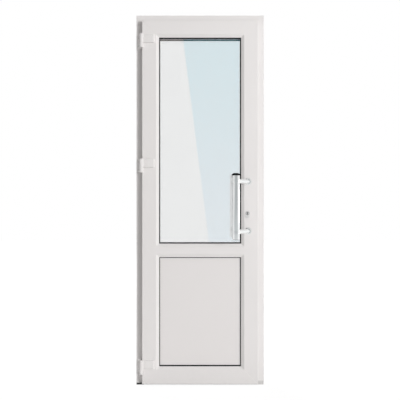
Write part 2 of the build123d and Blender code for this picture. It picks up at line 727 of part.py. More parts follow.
def lock_faceplate():
    x = (LEAF_EDGE_X - HARDWARE_GROOVE_DEPTH, LEAF_EDGE_X)
    plate = rounded_plate(x, around(GROOVE_MIDDLE_Y, HARDWARE_GROOVE_WIDTH), FACEPLATE_Z)
    return plate - roller_pocket() - bolt_block(LEAF_EDGE_X + 1)


def latch_roller():
    x = LEAF_EDGE_X + ROLLER_PROUD - ROLLER_RADIUS
    return cylinder_z(ROLLER_RADIUS, x, GROOVE_MIDDLE_Y, *around(ROLLER_Z, ROLLER_HEIGHT))


def keep_plate():
    x = (REBATE_X, REBATE_X + KEEP_THICKNESS)
    z = (FACEPLATE_Z[0] + CASE_MARGIN, FACEPLATE_Z[1] - CASE_MARGIN)
    return rounded_plate(x, around(GROOVE_MIDDLE_Y, KEEP_WIDTH), z)


def keep_pockets():
    """Openings across from the roller and the bolt, as deep as the jamb's chamber."""
    x = (REBATE_X - 1, REBATE_X + 14)
    y = around(GROOVE_MIDDLE_Y, KEEP_POCKET_WIDTH)
    roller = box(x, y, around(ROLLER_Z, ROLLER_HEIGHT + 2 * KEEP_MARGIN))
    return roller + box(x, y, around(BOLT_Z, BOLT_HEIGHT + 2 * KEEP_MARGIN))


def lock_keep():
    """The striking plate, flush in the lock jamb's rebate."""
    return keep_plate() - keep_pockets()


# Pull handles


def handle_side(side):
    """The leaf face that a handle stands on, and where its bar runs."""
    face_y = LEAF_OUTER_Y if side < 0 else LEAF_INNER_Y
    return face_y, HANDLE_ROOT_X + BAR_OFFSET_X, face_y + side * BAR_OFFSET_Y


def pull_bar(side):
    x, y = handle_side(side)[1:]
    return cylinder_z(BAR_RADIUS, x, y, BAR_FOOT_Z, BAR_TOP_Z)


def bracket(side, z):
    """A coned foot on the leaf and an arm slanted at about 45 degrees to the bar."""
    face_y, x, y = handle_side(side)
    foot_outline = polygon(
        [
            (0, 0),
            (FOOT_RADIUS, 0),
            (ARM_RADIUS + 1, FOOT_HEIGHT),
            (0, FOOT_HEIGHT),
        ]
    )
    foot = revolve(Plane.XZ * foot_outline, Axis.Z)
    foot = Pos(HANDLE_ROOT_X, face_y, z) * Rot(-90 * side, 0, 0) * foot
    start = Vector(HANDLE_ROOT_X, face_y, z)
    along = Vector(x, y, z) - start
    lead_in = 2 * ARM_RADIUS
    plane = Plane(origin=start - along.normalized() * lead_in, z_dir=along)
    arm = extrude(plane * Circle(ARM_RADIUS), along.length + lead_in)
    outside = sorted((face_y, face_y + side * BIG))
    arm &= box((-BIG, BIG), outside, around(z, BIG))
    return foot + arm - cylinder_z(BAR_RADIUS, x, y, *around(z, BIG))


def end_cap(side):
    """A tapered cap on the top of a bar."""
    x, y = handle_side(side)[1:]
    outline = polygon(
        [
            (0, 0),
            (BAR_RADIUS, 0),
            (CAP_TOP_RADIUS, CAP_HEIGHT),
            (0, CAP_HEIGHT),
        ]
    )
    return Pos(x, y, BAR_TOP_Z) * revolve(Plane.XZ * outline, Axis.Z)


def foot_plug(side):
    """A flat plug that closes the bottom of a bar."""
    x, y = handle_side(side)[1:]
    return cylinder_z(FOOT_PLUG_RADIUS, x, y, BAR_FOOT_Z - FOOT_PLUG_HEIGHT, BAR_FOOT_Z)


def save(name, shape):
    export_step(shape, f"parts/{name}.step")


def main():
    save("frame_head", frame_head())
    save("frame_hinge_jamb", jamb(-1))
    save("frame_lock_jamb", lock_jamb())
    save("threshold", threshold())
    save("threshold_joiner_hinge_side", threshold_joiner(-1))
    save("threshold_joiner_lock_side", threshold_joiner(1))
    save("hinge_side_packer", hinge_side_packer())
    save("frame_seal", frame_seal())
    save("lock_keep", lock_keep())

    save("leaf_hinge_stile", stile(-1))
    save("leaf_lock_stile", lock_stile())
    save("leaf_top_rail", top_rail())
    save("leaf_mid_rail", mid_rail())
    save("leaf_bottom_rail", bottom_rail())
    save("leaf_seal", leaf_seal())

    pane = PANE_THICKNESS
    save("glass_outer_pane", unit_block(UPPER_Z, (UNIT_OUTER_Y, UNIT_OUTER_Y + pane)))
    save("glass_inner_pane", unit_block(UPPER_Z, (UNIT_INNER_Y - pane, UNIT_INNER_Y)))
    save("glass_spacer", glass_spacer())
    save("lower_panel", unit_block(LOWER_Z, (UNIT_OUTER_Y, UNIT_INNER_Y)))
    for place, z, nose in (("glass", UPPER_Z, GLASS_SEAL_NOSE), ("panel", LOWER_Z, PANEL_SEAL_NOSE)):
        save(f"{place}_seal_outer", outer_glazing_seal(z, nose))
        save(f"{place}_seal_inner", glazing_seal(z, (UNIT_INNER_Y, BEAD_BACK_Y), INNER_SEAL_NOSE))
        save(f"{place}_beads", beads(z))

    save("hinge_frame_parts", Compound([hinge_frame_part(z_top) for z_top in HINGE_TOPS]))
    save("hinge_leaf_parts", Compound([hinge_leaf_part(z_top) for z_top in HINGE_TOPS]))

    save("lock_cylinder", lock_cylinder())
    save("key_plug", key_plug())
    outer_ring = cylinder_ring((LEAF_OUTER_Y - RING_THICKNESS, LEAF_OUTER_Y))
    inner_ring = cylinder_ring((LEAF_INNER_Y, LEAF_INNER_Y + RING_THICKNESS))
    save("cylinder_rings", Compound([outer_ring, inner_ring]))
    save("lock_faceplate", lock_faceplate())
    save("lock_case", lock_case())
    save("latch_roller", latch_roller())
    save("deadbolt", bolt_block(LEAF_EDGE_X - BOLT_SUNK))

    sides = (-1, 1)
    bracket_heights = around(HANDLE_CENTRE_Z, BRACKET_SPACING)
    save("pull_bars", Compound([pull_bar(side) for side in sides]))
    save("pull_brackets", Compound([bracket(side, z) for side in sides for z in bracket_heights]))
    save("pull_end_caps", Compound([make(side) for side in sides for make in (end_cap, foot_plug)]))


main()
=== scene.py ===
"""Finishes, small fittings and photo studio for the glazed uPVC door."""
import json
import math

import bmesh
import bpy
from bpy.props import FloatProperty, FloatVectorProperty, PointerProperty
from mathutils import Matrix, Vector


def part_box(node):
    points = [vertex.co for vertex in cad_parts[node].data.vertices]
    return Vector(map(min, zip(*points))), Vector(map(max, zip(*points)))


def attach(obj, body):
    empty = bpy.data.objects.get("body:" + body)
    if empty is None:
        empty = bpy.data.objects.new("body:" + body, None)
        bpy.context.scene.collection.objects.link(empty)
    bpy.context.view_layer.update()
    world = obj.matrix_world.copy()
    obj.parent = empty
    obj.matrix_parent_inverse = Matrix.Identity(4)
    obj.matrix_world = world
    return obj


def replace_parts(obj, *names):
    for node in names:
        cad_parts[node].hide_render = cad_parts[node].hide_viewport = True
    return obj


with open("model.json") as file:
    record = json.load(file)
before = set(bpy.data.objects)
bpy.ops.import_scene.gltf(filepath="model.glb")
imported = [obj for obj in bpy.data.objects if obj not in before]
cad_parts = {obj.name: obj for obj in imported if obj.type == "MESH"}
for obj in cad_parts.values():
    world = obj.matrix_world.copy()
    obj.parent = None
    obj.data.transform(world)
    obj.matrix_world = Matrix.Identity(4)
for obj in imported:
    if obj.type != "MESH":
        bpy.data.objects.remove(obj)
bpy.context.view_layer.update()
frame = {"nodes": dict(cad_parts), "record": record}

bl_info = {
    "name": "Glazed door dressing",
    "version": (1, 0, 0),
    "blender": (4, 5, 0),
    "location": "View3D > Sidebar > Door",
    "description": "Gives the glazed door its finishes, small fittings and studio",
    "category": "Object",
}

NODES = frame["nodes"]
SLOT_COLOUR = {row["slot"]: tuple(row["base_color"][:3]) for row in frame["record"]["materials"]}

# Places in the door's own layout, in metres. A bar is given by its x, y and radius.
HINGE_X = -0.3185
HINGE_Y = -0.0665
HINGE_TOPS = (1.9185, 1.2385, 0.1410)
HINGE_HEIGHT = 0.072
FRAME_KNUCKLE = 0.026
KNUCKLE_GAP = 0.001
HINGE_PLATE_X = -0.3375
HINGE_PLATE_Y = -0.039
HINGE_SCREW_DROPS = (0.014, 0.058)
OUTER_BAR = (0.1901, -0.134, 0.020)
INNER_BAR = (0.1960, 0.090, 0.012)
BAR_TOP = 1.146
BAR_FOOT = 0.806
BRACKET_ZS = (0.846, 1.116)
COLLAR_DROP = 0.002
KEY_X = 0.259
KEY_Z = 0.943
# Where the nickel's colour paints shade: the key slot and the gap round the plug.
KEYWAY_Z = 0.9425
KEYWAY_SHADE_HALF_WIDTH = 0.0020
KEYWAY_SHADE_HALF_HEIGHT = 0.0058
PLUG_SEAM_RADIUS = 0.0086
PLUG_SEAM_SHADE_HALF = 0.0010
FACEPLATE_X = 0.2975
FACEPLATE_SCREW_ZS = (0.874, 0.943, 1.028, 1.092, 1.136)
KEEP_X = 0.3095
KEEP_SCREW_ZS = (0.886, 0.935, 1.028, 1.095, 1.126)
HARDWARE_Y = -0.022
THRESHOLD_SCREW_XS = (-0.26, -0.087, 0.087, 0.26)
THRESHOLD_SCREW_Y = 0.0255
REBATE_X = 0.3095
FIXING_Y = -0.009
FIXING_ZS = (0.190, 0.740, 1.290, 1.840)
LIP_FRONT_Y = -0.0475
LIP_BACK_Y = -0.045
BEVEL_SLOPE = 8.5 / 17.5
GLASS_OUTER_Y = -0.042
GLASS_INNER_Y = -0.014
BEAD_BACK_Y = -0.011
BEAD_FACE_Y = 0.012
BEAD_REACH = 0.022
BEAD_MITRE_GAP = 0.0001
SEAL_RISE = {"glass": 0.0010, "panel": 0.0018}
SEAL_LEAN = {"glass": (-0.0012, 0.0018), "panel": (0.0, 0.0010)}
SEAL_DROP = {"outer": 0.0006, "inner": 0.0040}
SEAL_BACK = 0.0135
SPACER_WIDTH = 0.0149
SPACER_ROW_OFFSET = 0.0025

# The studio: places and sizes in metres, and linear colours
CAMERA_X = -0.0005
AIM = (0.0, 0.0, 1.0)
KEY_SPOT = (5.2, -5.85, 2.2)
SIDE_KEY_SPOT = (6.2, -4.6, 2.2)
SIDE_KEY_SHARE = 1.12
KEY_SIZE = 2.4
BACK_SPOT = (-3.4, 4.3, 3.2)
BACK_SIZE = 2.0
HINGE_STRIP_SPOT = (-2.9, -1.2, 1.1)
HINGE_STRIP_SIZE = 0.6
HANDLE_STRIP_SPOT = (2.6, 0.35, 1.0)
HANDLE_STRIP_SIZE = 0.4
WHITE = (1.0, 1.0, 1.0)
MIRRORED_FRONT = (0.475, 0.50, 0.507)
MIRRORED_ABOVE = (0.22, 0.225, 0.23)
EVEN_FRONT = (1.0, 0.985, 0.975)
EVEN_BACK = (0.45, 0.44, 0.435)
FLOOR_HALF = 9.0
CARD_HALF = 0.62
CARD_Y = -3.5
CARD_FOOT = 0.3
CARD_TOP = 3.3
CARD_NEUTRAL = (1.35, 1.275, 1.22)
CARD_BLUE_LOW = (0.56, 0.895, 1.12)
CARD_BLUE_HIGH = (0.0, 0.775, 1.02)


def colour_setting(label, text, value):
    limits = {"size": 3, "min": 0.0, "max": 1.0}
    return FloatVectorProperty(name=label, description=text, subtype="COLOR", default=value, **limits)


def length_setting(label, text, value):
    kind = {"unit": "LENGTH", "subtype": "DISTANCE", "min": 0.0}
    return FloatProperty(name=label, description=text, default=value, **kind)


def share_setting(label, text, value):
    return FloatProperty(name=label, description=text, subtype="FACTOR", min=0.0, max=1.0, default=value)


def power_setting(label, text, value):
    return FloatProperty(name=label, description=text, unit="POWER", min=0.0, default=value)


class DoorFinishSettings(bpy.types.PropertyGroup):
    """Colours and gloss of the door's materials."""

    profile_white: colour_setting("Profile white", "Colour of the bars and beads", SLOT_COLOUR["upvc"])
    panel_white: colour_setting("Panel white", "Colour of the lower panel", (0.872, 0.845, 0.838))
    hinge_white: colour_setting("Hinge white", "Colour of the hinges' coat", (0.815, 0.795, 0.787))
    glass_tint: colour_setting("Glass tint", "Light that one pane lets through", (0.826, 0.834, 0.837))
    seal_black: colour_setting("Seal black", "Colour of the rubber seals", (0.009, 0.009, 0.010))
    cap_black: colour_setting("Cap black", "Colour of the bars' end caps", (0.008, 0.008, 0.009))
    handle_silver: colour_setting("Handle silver", "Colour of the pull handles", (0.90, 0.915, 0.915))
    joiner_grey: colour_setting("Joiner grey", "Colour of the threshold's ends", (0.76, 0.75, 0.74))
    profile_roughness: share_setting("Profile roughness", "How matt the plastic bars are", 0.3)
    handle_roughness: share_setting("Handle roughness", "How matt the pull bars are", 0.3)
    bracket_roughness: share_setting("Bracket roughness", "How matt the pull bars' arms are", 0.13)


class DoorFittingSettings(bpy.types.PropertyGroup):
    """Sizes of the small fittings."""

    screw_radius: length_setting("Screw radius", "Head radius of the lock's and hinges' screws", 0.0038)
    threshold_screw_radius: length_setting("Threshold screw radius", "Head radius of its screws", 0.0045)
    cover_cap_radius: length_setting("Cover cap radius", "Radius of the frame fixings' caps", 0.0065)
    perforation_radius: length_setting("Spacer hole radius", "Radius of the glass spacer's holes", 0.0006)
    perforation_pitch: length_setting("Spacer hole pitch", "From one of these holes to the next", 0.006)
    end_cap_rim: length_setting("End cap rim", "How far the end caps stand out round the bars", 0.0026)
    end_cap_height: length_setting("End cap height", "Height of the pull bars' end caps", 0.012)
    collar_height: length_setting("Collar height", "Height of the rings that meet the arms", 0.016)
    collar_wall: length_setting("Collar wall", "Wall of the outer bar's rings", 0.0012)
    sleeve_wall: length_setting("Sleeve wall", "Wall of the slimmer inner bar's sleeves", 0.0050)
    glass_seal_cover: length_setting("Glass seal lap", "How far it laps over the bevel", 0.0016)
    glass_seal_nose: length_setting("Glass seal nose", "How far it shows past the bevel", 0.0034)
    panel_seal_cover: length_setting("Panel seal lap", "How far it laps over the bevel", 0.0006)
    panel_seal_nose: length_setting("Panel seal nose", "How far it shows past the bevel", 0.0034)
    inner_seal_nose: length_setting("Inner seal nose", "How far it shows past the beads", 0.0022)


class DoorStudioSettings(bpy.types.PropertyGroup):
    """Camera and light."""

    camera_distance: length_setting("Camera distance", "From the frame's outer face", 2.6)
    camera_height: length_setting("Camera height", "Height of the camera over the floor", 1.0154)
    lens: FloatProperty(name="Lens", description="Focal length in millimetres", min=10.0, default=42.525)
    key_power: power_setting("Key power", "Power of the main lamp", 393.0)
    back_power: power_setting("Back power", "Power of the lamp behind the door", 260.0)
    strip_power: power_setting("Strip power", "Power of the hinges' lamp", 16.0)
    handle_power: power_setting("Handle power", "Power of the pull handles' lamp", 13.0)
    ambient: share_setting("Ambient", "Strength of the even light", 0.285)


class Term:
    """The output of a node, used like a number in shader maths."""

    def __init__(self, graph, socket):
        self.graph = graph
        self.socket = socket

    def maths(self, operation, first, second):
        return self.graph.node("ShaderNodeMath", {"operation": operation}, {0: first, 1: second})

    def alone(self, operation):
        """A Math node that takes one value, such as ABSOLUTE or SINE."""
        return self.graph.node("ShaderNodeMath", {"operation": operation}, {0: self})

    def above(self, level):
        """1 over this level, 0 under it."""
        return self.maths("GREATER_THAN", self, level)

    def __add__(self, other):
        return self.maths("ADD", self, other)

    __radd__ = __add__

    def __sub__(self, other):
        return self.maths("SUBTRACT", self, other)

    def __rsub__(self, other):
        return self.maths("SUBTRACT", other, self)

    def __mul__(self, other):
        return self.maths("MULTIPLY", self, other)

    __rmul__ = __mul__

    def over(self, low, high):
        """Rises smoothly from 0 at low to 1 at high."""
        return self.graph.node(
            "ShaderNodeMapRange",
            {"interpolation_type": "SMOOTHSTEP"},
            {"Value": self, "From Min": low, "From Max": high},
        )

    def sibling(self, name):
        """Another output of the same node."""
        return Term(self.graph, self.socket.node.outputs[name])


def rgba(colour):
    return colour if isinstance(colour, Term) else (*colour[:3], 1.0)


def shade(colour, share):
    return tuple(part * share for part in colour[:3])


class Graph:
    """Adds nodes to a material, world or geometry tree."""

    def __init__(self, tree, material=None):
        self.tree = tree
        self.material = material

    def node(self, kind, settings=None, sockets=None, output=0):
        """Makes a node, sets its settings, then its sockets' values or links, and gives one output."""
        made = self.tree.nodes.new(kind)
        for name, value in (settings or {}).items():
            setattr(made, name, value)
        for key, value in (sockets or {}).items():
            if isinstance(value, Term):
                self.tree.links.new(value.socket, made.inputs[key])
            else:
                made.inputs[key].default_value = value
        return Term(self, made.outputs[output]) if len(made.outputs) else made

    def place(self):
        """Object coordinates, in metres."""
        return self.node("ShaderNodeTexCoord", output="Object")

    def stretch(self, place, scale, shift=(0.0, 0.0, 0.0)):
        sockets = {"Vector": place, "Location": shift, "Scale": scale}
        return self.node("ShaderNodeMapping", {"vector_type": "POINT"}, sockets)

    def length(self, vector):
        return self.node("ShaderNodeVectorMath", {"operation": "LENGTH"}, {0: vector}, output="Value")

    def noise(self, place, scale, detail=2.0, roughness=0.5):
        sockets = {"Vector": place, "Scale": scale, "Detail": detail, "Roughness": roughness}
        return self.node("ShaderNodeTexNoise", {"noise_dimensions": "3D"}, sockets)

    def axis(self, place, name):
        return self.node("ShaderNodeSeparateXYZ", {}, {"Vector": place}, output=name)

    def blend(self, share, first, second):
        """A colour between two colours."""
        sockets = {0: share, 6: rgba(first), 7: rgba(second)}
        return self.node("ShaderNodeMix", {"data_type": "RGBA", "clamp_factor": True}, sockets, output=2)

    def bump(self, height, depth, strength=1.0):
        sockets = {"Strength": strength, "Distance": depth, "Height": height}
        return self.node("ShaderNodeBump", {}, sockets)

    def rays(self):
        """The Light Path node, and masks of its rays: mirrored, not yet scattered, and outside glass."""
        path = self.node("ShaderNodeLightPath", output="Is Camera Ray")
        mirrored = path.sibling("Glossy Depth").above(0.5)
        direct = 1.0 - path.sibling("Diffuse Depth").above(0.5)
        unglazed = 1.0 - path.sibling("Transmission Depth").above(0.5)
        return path, mirrored, direct, unglazed

    def output(self, shader):
        """Ends the material in this shader and gives the material."""
        self.node("ShaderNodeOutputMaterial", {}, {"Surface": shader})
        return self.material

    def surface(self, sockets):
        """Ends the material in a Principled shader with these sockets and gives the material."""
        return self.output(self.node("ShaderNodeBsdfPrincipled", {}, sockets))


def new_material(name):
    """A fresh material's graph, and the place on the piece that its patterns read."""
    material = bpy.data.materials.new(name)
    material.use_nodes = True
    material.node_tree.nodes.clear()
    graph = Graph(material.node_tree, material)
    return graph, graph.place()


# Finishes


def profile_finish(name, colour, roughness, run):
    """White plastic bar: fine lines along its run, faint clouding, a trace of dust near the floor."""
    graph, place = new_material(name)
    lines = graph.noise(graph.stretch(place, run), 700.0, 3.0)
    clouds = graph.noise(place, 5.0, 3.0)
    grain = graph.noise(place, 1600.0, 2.0)
    low = graph.axis(place, "Z").over(0.22, 0.0)
    dust = low * graph.noise(place, 60.0, 6.0, 0.7)
    soil = clouds * 0.30 + lines * 0.15 + dust * 0.8
    return graph.surface({
        "Base Color": graph.blend(soil, colour, shade(colour, 0.93)),
        "Roughness": roughness - 0.04 + lines * 0.08 + dust * 0.25,
        "Specular IOR Level": 0.5,
        "Normal": graph.bump(lines * 0.6 + grain * 0.4, 0.00002),
    })


def panel_finish(name, colour, roughness):
    """Flat plastic sheet: long soft ripples and a fine satin grain."""
    graph, place = new_material(name)
    ripple = graph.noise(graph.stretch(place, (1.0, 1.0, 0.35)), 4.0, 1.0)
    grain = graph.noise(place, 1300.0, 3.0)
    soil = ripple * 0.35 + graph.noise(place, 45.0, 6.0, 0.7) * 0.12
    return graph.surface({
        "Base Color": graph.blend(soil, colour, shade(colour, 0.94)),
        "Roughness": roughness + grain * 0.08,
        "Normal": graph.bump(ripple * 0.9 + grain * 0.02, 0.0004, 0.5),
    })


def glass_finish(name, tint):
    """Clear float glass with a trace of film on it."""
    graph, place = new_material(name)
    film = graph.noise(graph.stretch(place, (1.0, 1.0, 0.3)), 9.0, 5.0, 0.6)
    return graph.surface({
        "Base Color": graph.blend(film * 0.4, tint, shade(tint, 0.985)),
        "Roughness": 0.0,
        "IOR": 1.5,
        "Transmission Weight": 1.0,
    })


def spacer_finish(name, colour):
    """Matt aluminium spacer bar with roll-forming lines."""
    graph, place = new_material(name)
    lines = graph.noise(graph.stretch(place, (0.05, 1.0, 0.05)), 1500.0, 2.0)
    clouds = graph.noise(place, 30.0, 4.0)
    return graph.surface({
        "Base Color": graph.blend(lines * 0.6 + clouds * 0.3, colour, shade(colour, 0.8)),
        "Metallic": 0.85,
        "Roughness": 0.42 + lines * 0.15,
        "Normal": graph.bump(lines, 0.00003),
    })


def rubber_finish(name, colour):
    """Black rubber with a fine matt grain and a faint grey bloom in places."""
    graph, place = new_material(name)
    grain = graph.noise(place, 2200.0, 3.0)
    bloom = graph.noise(place, 25.0, 5.0, 0.65).over(0.45, 0.8)
    return graph.surface({
        "Base Color": graph.blend(bloom * 0.5, colour, tuple(part + 0.02 for part in colour)),
        "Roughness": 0.55 + bloom * 0.2 + grain * 0.1,
        "Specular IOR Level": 0.15,
        "Normal": graph.bump(grain, 0.00005),
    })


def mill_finish(name, colour):
    """Bare aluminium: lines along the extrusion, and light scuffs where feet pass."""
    graph, place = new_material(name)
    lines = graph.noise(graph.stretch(place, (0.015, 1.0, 1.0)), 900.0, 4.0)
    streaks = graph.noise(graph.stretch(place, (0.05, 1.0, 1.0)), 120.0, 4.0)
    scuffs = graph.noise(graph.stretch(place, (1.0, 3.0, 1.0)), 35.0, 8.0, 0.75).over(0.56, 0.70)
    middle = 1.0 - graph.axis(place, "X").alone("ABSOLUTE").over(0.05, 0.28)
    worn = scuffs * middle
    return graph.surface({
        "Base Color": graph.blend(streaks * 0.5 + worn * 0.4, colour, shade(colour, 0.78)),
        "Metallic": 0.75,
        "Roughness": 0.30 + lines * 0.14 + worn * 0.18,
        "Normal": graph.bump(lines + worn * 0.4, 0.00004),
    })


def moulded_finish(name, colour, roughness, mottle, shine=0.5):
    """Moulded plastic with a fine spark-eroded grain and slight mottling."""
    graph, place = new_material(name)
    grain = graph.node("ShaderNodeTexVoronoi", {"feature": "F1"}, {"Vector": place, "Scale": 1800.0})
    cloud = graph.noise(place, 160.0, 5.0, 0.7)
    return graph.surface({
        "Base Color": graph.blend(cloud * mottle + grain * 0.1, colour, shade(colour, 0.7)),
        "Roughness": roughness + cloud * 0.12,
        "Specular IOR Level": shine,
        "Normal": graph.bump(grain, 0.00006),
    })


def powder_finish(name, colour):
    """Powder coat with a soft orange-peel surface."""
    graph, place = new_material(name)
    peel = graph.noise(place, 420.0, 1.5, 0.4)
    fine = graph.noise(place, 2600.0, 2.0)
    return graph.surface({
        "Base Color": graph.blend(peel * 0.3 + fine * 0.1, colour, shade(colour, 0.95)),
        "Roughness": 0.22 + fine * 0.1,
        "Coat Weight": 0.15 + peel * 0.1,
        "Normal": graph.bump(peel * 0.8 + fine * 0.2, 0.00006),
    })


def zinc_finish(name, colour):
    """Zinc-plated steel: brushed lines up and down, cloudy plating."""
    graph, place = new_material(name)
    lines = graph.noise(graph.stretch(place, (1.0, 1.0, 0.02)), 1500.0, 3.0)
    clouds = graph.noise(place, 70.0, 4.0, 0.6)
    warm = (colour[0], colour[1] * 0.97, colour[2] * 0.90)
    return graph.surface({
        "Base Color": graph.blend(clouds * 0.6 + lines * 0.3, colour, shade(warm, 0.85)),
        "Metallic": 1.0,
        "Roughness": 0.26 + lines * 0.16 + clouds * 0.08,
        "Normal": graph.bump(lines, 0.00003),
    })


def nickel_finish(name, colour, metal_share):
    """Satin nickel with fine turned marks, and painted shade: near black over the key plug's key slot and
    darker in the gap round the plug.
    """
    graph, place = new_material(name)
    away = graph.length(graph.stretch(place, (1.0, 0.02, 1.0), (-KEY_X, 0.0, -KEY_Z)))
    rings = (away * 9000.0).alone("SINE")
    clouds = graph.noise(place, 90.0, 3.0)
    aside = (graph.axis(place, "X") - KEY_X).alone("ABSOLUTE")
    along = (graph.axis(place, "Z") - KEYWAY_Z).alone("ABSOLUTE")
    # Painted shade: near black over the key slot, for the shade inside it.
    keyway_shade = (1.0 - aside.above(KEYWAY_SHADE_HALF_WIDTH)) * (1.0 - along.above(KEYWAY_SHADE_HALF_HEIGHT))
    # Painted shade: a darker ring in the gap round the plug.
    seam_shade = 1.0 - (away - PLUG_SEAM_RADIUS).alone("ABSOLUTE").above(PLUG_SEAM_SHADE_HALF)
    metal = graph.blend(clouds * 0.4 + rings * 0.05 + seam_shade * 0.9, colour, shade(colour, 0.38))
    return graph.surface({
        "Base Color": graph.blend(keyway_shade, metal, (0.012, 0.012, 0.012)),
        "Metallic": (1.0 - keyway_shade) * metal_share,
        "Roughness": 0.24 + clouds * 0.10,
        "Normal": graph.bump(rings * 0.5 + clouds * 0.5, 0.00002),
    })


def handle_finish(name, colour, roughness):
    """Satin steel tube, brushed along its length."""
    graph, place = new_material(name)
    lines = graph.noise(graph.stretch(place, (1.0, 1.0, 0.012)), 1300.0, 4.0)
    clouds = graph.noise(place, 22.0, 3.0)
    touch = graph.noise(place, 60.0, 5.0, 0.6).over(0.55, 0.75)
    return graph.surface({
        "Base Color": graph.blend(lines * 0.35 + clouds * 0.2, colour, shade(colour, 0.88)),
        "Metallic": 1.0,
        "Roughness": roughness - 0.05 + lines * 0.1 + touch * 0.05,
        "Normal": graph.bump(lines, 0.00002),
    })


def nylon_finish(name, colour):
    """Pale nylon, slightly waxy, with faint flow marks."""
    graph, place = new_material(name)
    flow = graph.noise(graph.stretch(place, (1.0, 1.0, 0.3)), 220.0, 4.0, 0.6)
    return graph.surface({
        "Base Color": graph.blend(flow * 0.5, colour, shade(colour, 0.9)),
        "Roughness": 0.35 + flow * 0.15,
        "Normal": graph.bump(flow, 0.00004),
    })


def dress(material, *names):
    """Gives CAD nodes a material."""
    for name in names:
        for slot in NODES[name].material_slots:
            slot.material = material


def finish_for(name, make, *values):
    """The material of that name, made once."""
    return bpy.data.materials.get(name) or make(name, *values)


def white_plug():
    tone = bpy.context.scene.door_finishes
    return finish_for("white_plug", moulded_finish, tone.hinge_white, 0.32, 0.1)


def pale_nylon():
    return finish_for("pale_nylon", nylon_finish, SLOT_COLOUR["roller_plastic"])


def zinc_steel():
    return finish_for("zinc_steel", zinc_finish, SLOT_COLOUR["lock_steel"])


# Small pieces in mesh code


def new_piece(name, mesh, body, material=None):
    """Puts a finished mesh in the scene as a piece that rides on a body."""
    piece = bpy.data.objects.new(name, mesh)
    bpy.context.scene.collection.objects.link(piece)
    if material:
        mesh.materials.clear()
        mesh.materials.append(material)
    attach(piece, body)
    return piece


def mesh_from(name, shape, crisp):
    """Closes a bmesh into a mesh with its faces outwards, smooth but for edges over the crisp angle."""
    bmesh.ops.remove_doubles(shape, verts=shape.verts, dist=1e-6)
    bmesh.ops.recalc_face_normals(shape, faces=shape.faces)
    mesh = bpy.data.meshes.new(name)
    shape.to_mesh(mesh)
    shape.free()
    mesh.shade_smooth()
    mesh.set_sharp_from_angle(angle=math.radians(crisp))
    return mesh


def circle(shape, radius, height, steps, where=Matrix.Identity(4)):
    """Adds a ring of points round Z, or one point where the radius is 0."""
    ring = []
    for step in range(steps if radius > 0 else 1):
        angle = 2 * math.pi * step / steps
        point = Vector((radius * math.cos(angle), radius * math.sin(angle), height))
        ring.append(shape.verts.new(where @ point))
    return ring


def bridge(shape, near, far):
    """Joins two closed rings with faces. Either may be a single point."""
    steps = max(len(near), len(far))
    for step in range(steps):
        after = (step + 1) % steps
        corners = [near[step % len(near)], near[after % len(near)]]
        corners += [far[after % len(far)], far[step % len(far)]]
        shape.faces.new(list(dict.fromkeys(corners)))


def turned(shape, profile, steps, where=Matrix.Identity(4)):
    """Adds a solid turned round Z from (radius, height) points."""
    rings = [circle(shape, radius, height, steps, where) for radius, height in profile]
    for lower, upper in zip(rings, rings[1:]):
        bridge(shape, lower, upper)


def sight_opening(place):
    """Half the width, the bottom and the top of an opening between its sight lines."""
    low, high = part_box(f"{place}_beads")
    return high.x - BEAD_REACH, low.z + BEAD_REACH, high.z - BEAD_REACH


def loop_mesh(name, opening, section, lean=(0.0, 0.0)):
    """A mitred loop round an opening, from a closed section of (distance into the opening, y) points.

    As soft rubber does, its inner edge may lean a little, sideways and up from the foot.
    """
    half, low, high = opening
    shape = bmesh.new()
    rings = []
    for inward, y in section:
        x = half - inward
        aside, lift = lean if inward > 0 else (0.0, 0.0)
        left, right = aside - x, aside + x
        foot = low + inward + lift
        corners = ((left, foot), (right, foot), (right, high - inward), (left, high - inward))
        rings.append([shape.verts.new((corner_x, y, corner_z)) for corner_x, corner_z in corners])
    for near, far in zip(rings, rings[1:] + rings[:1]):
        bridge(shape, near, far)
    return mesh_from(name, shape, 30)


def mitred_bars(name, opening, section, gap):
    """Four separate bars round an opening, cut at 45 degrees, with a hairline gap at each corner."""
    half, low, high = opening
    shape = bmesh.new()
    for index in range(4):
        ends = ([], [])
        for inward, y in section:
            x = half - inward
            corners = ((-x, low + inward), (x, low + inward), (x, high - inward), (-x, high - inward))
            start = Vector((corners[index][0], y, corners[index][1]))
            stop = Vector((corners[(index + 1) % 4][0], y, corners[(index + 1) % 4][1]))
            trim = (stop - start).normalized() * gap
            ends[0].append(shape.verts.new(start + trim))
            ends[1].append(shape.verts.new(stop - trim))
        bridge(shape, *ends)
        for end in ends:
            shape.faces.new(end)
    return mesh_from(name, shape, 30)


def screw_mesh(name, radius):
    """A countersunk head with a cross recess, facing +Z, its edge at height 0."""
    steps = 28
    crown = radius * 0.10
    skirt = -radius * 0.12
    arm = radius * 0.56
    half = radius * 0.14
    depth = radius * 0.42
    recess_taper = 0.72
    shape = bmesh.new()
    rim = circle(shape, radius * 0.88, crown, steps)
    outline = [
        (arm, -half), (arm, half), (half, half), (half, arm), (-half, arm), (-half, half),
        (-arm, half), (-arm, -half), (-half, -half), (-half, -arm), (half, -arm), (half, -half),
    ]
    cross = [shape.verts.new((x, y, crown)) for x, y in outline]
    floor = [shape.verts.new((x * recess_taper, y * recess_taper, crown - depth)) for x, y in outline]
    edges = []
    for loop in (rim, cross):
        for first, second in zip(loop, loop[1:] + loop[:1]):
            edges.append(shape.edges.new((first, second)))
    bmesh.ops.triangle_fill(shape, use_beauty=True, use_dissolve=False, edges=edges)
    bridge(shape, cross, floor)
    shape.faces.new(floor)
    edge = circle(shape, radius, 0.0, steps)
    base = circle(shape, radius, skirt, steps)
    bridge(shape, rim, edge)
    bridge(shape, edge, base)
    shape.faces.new(base)
    return mesh_from(name, shape, 25)


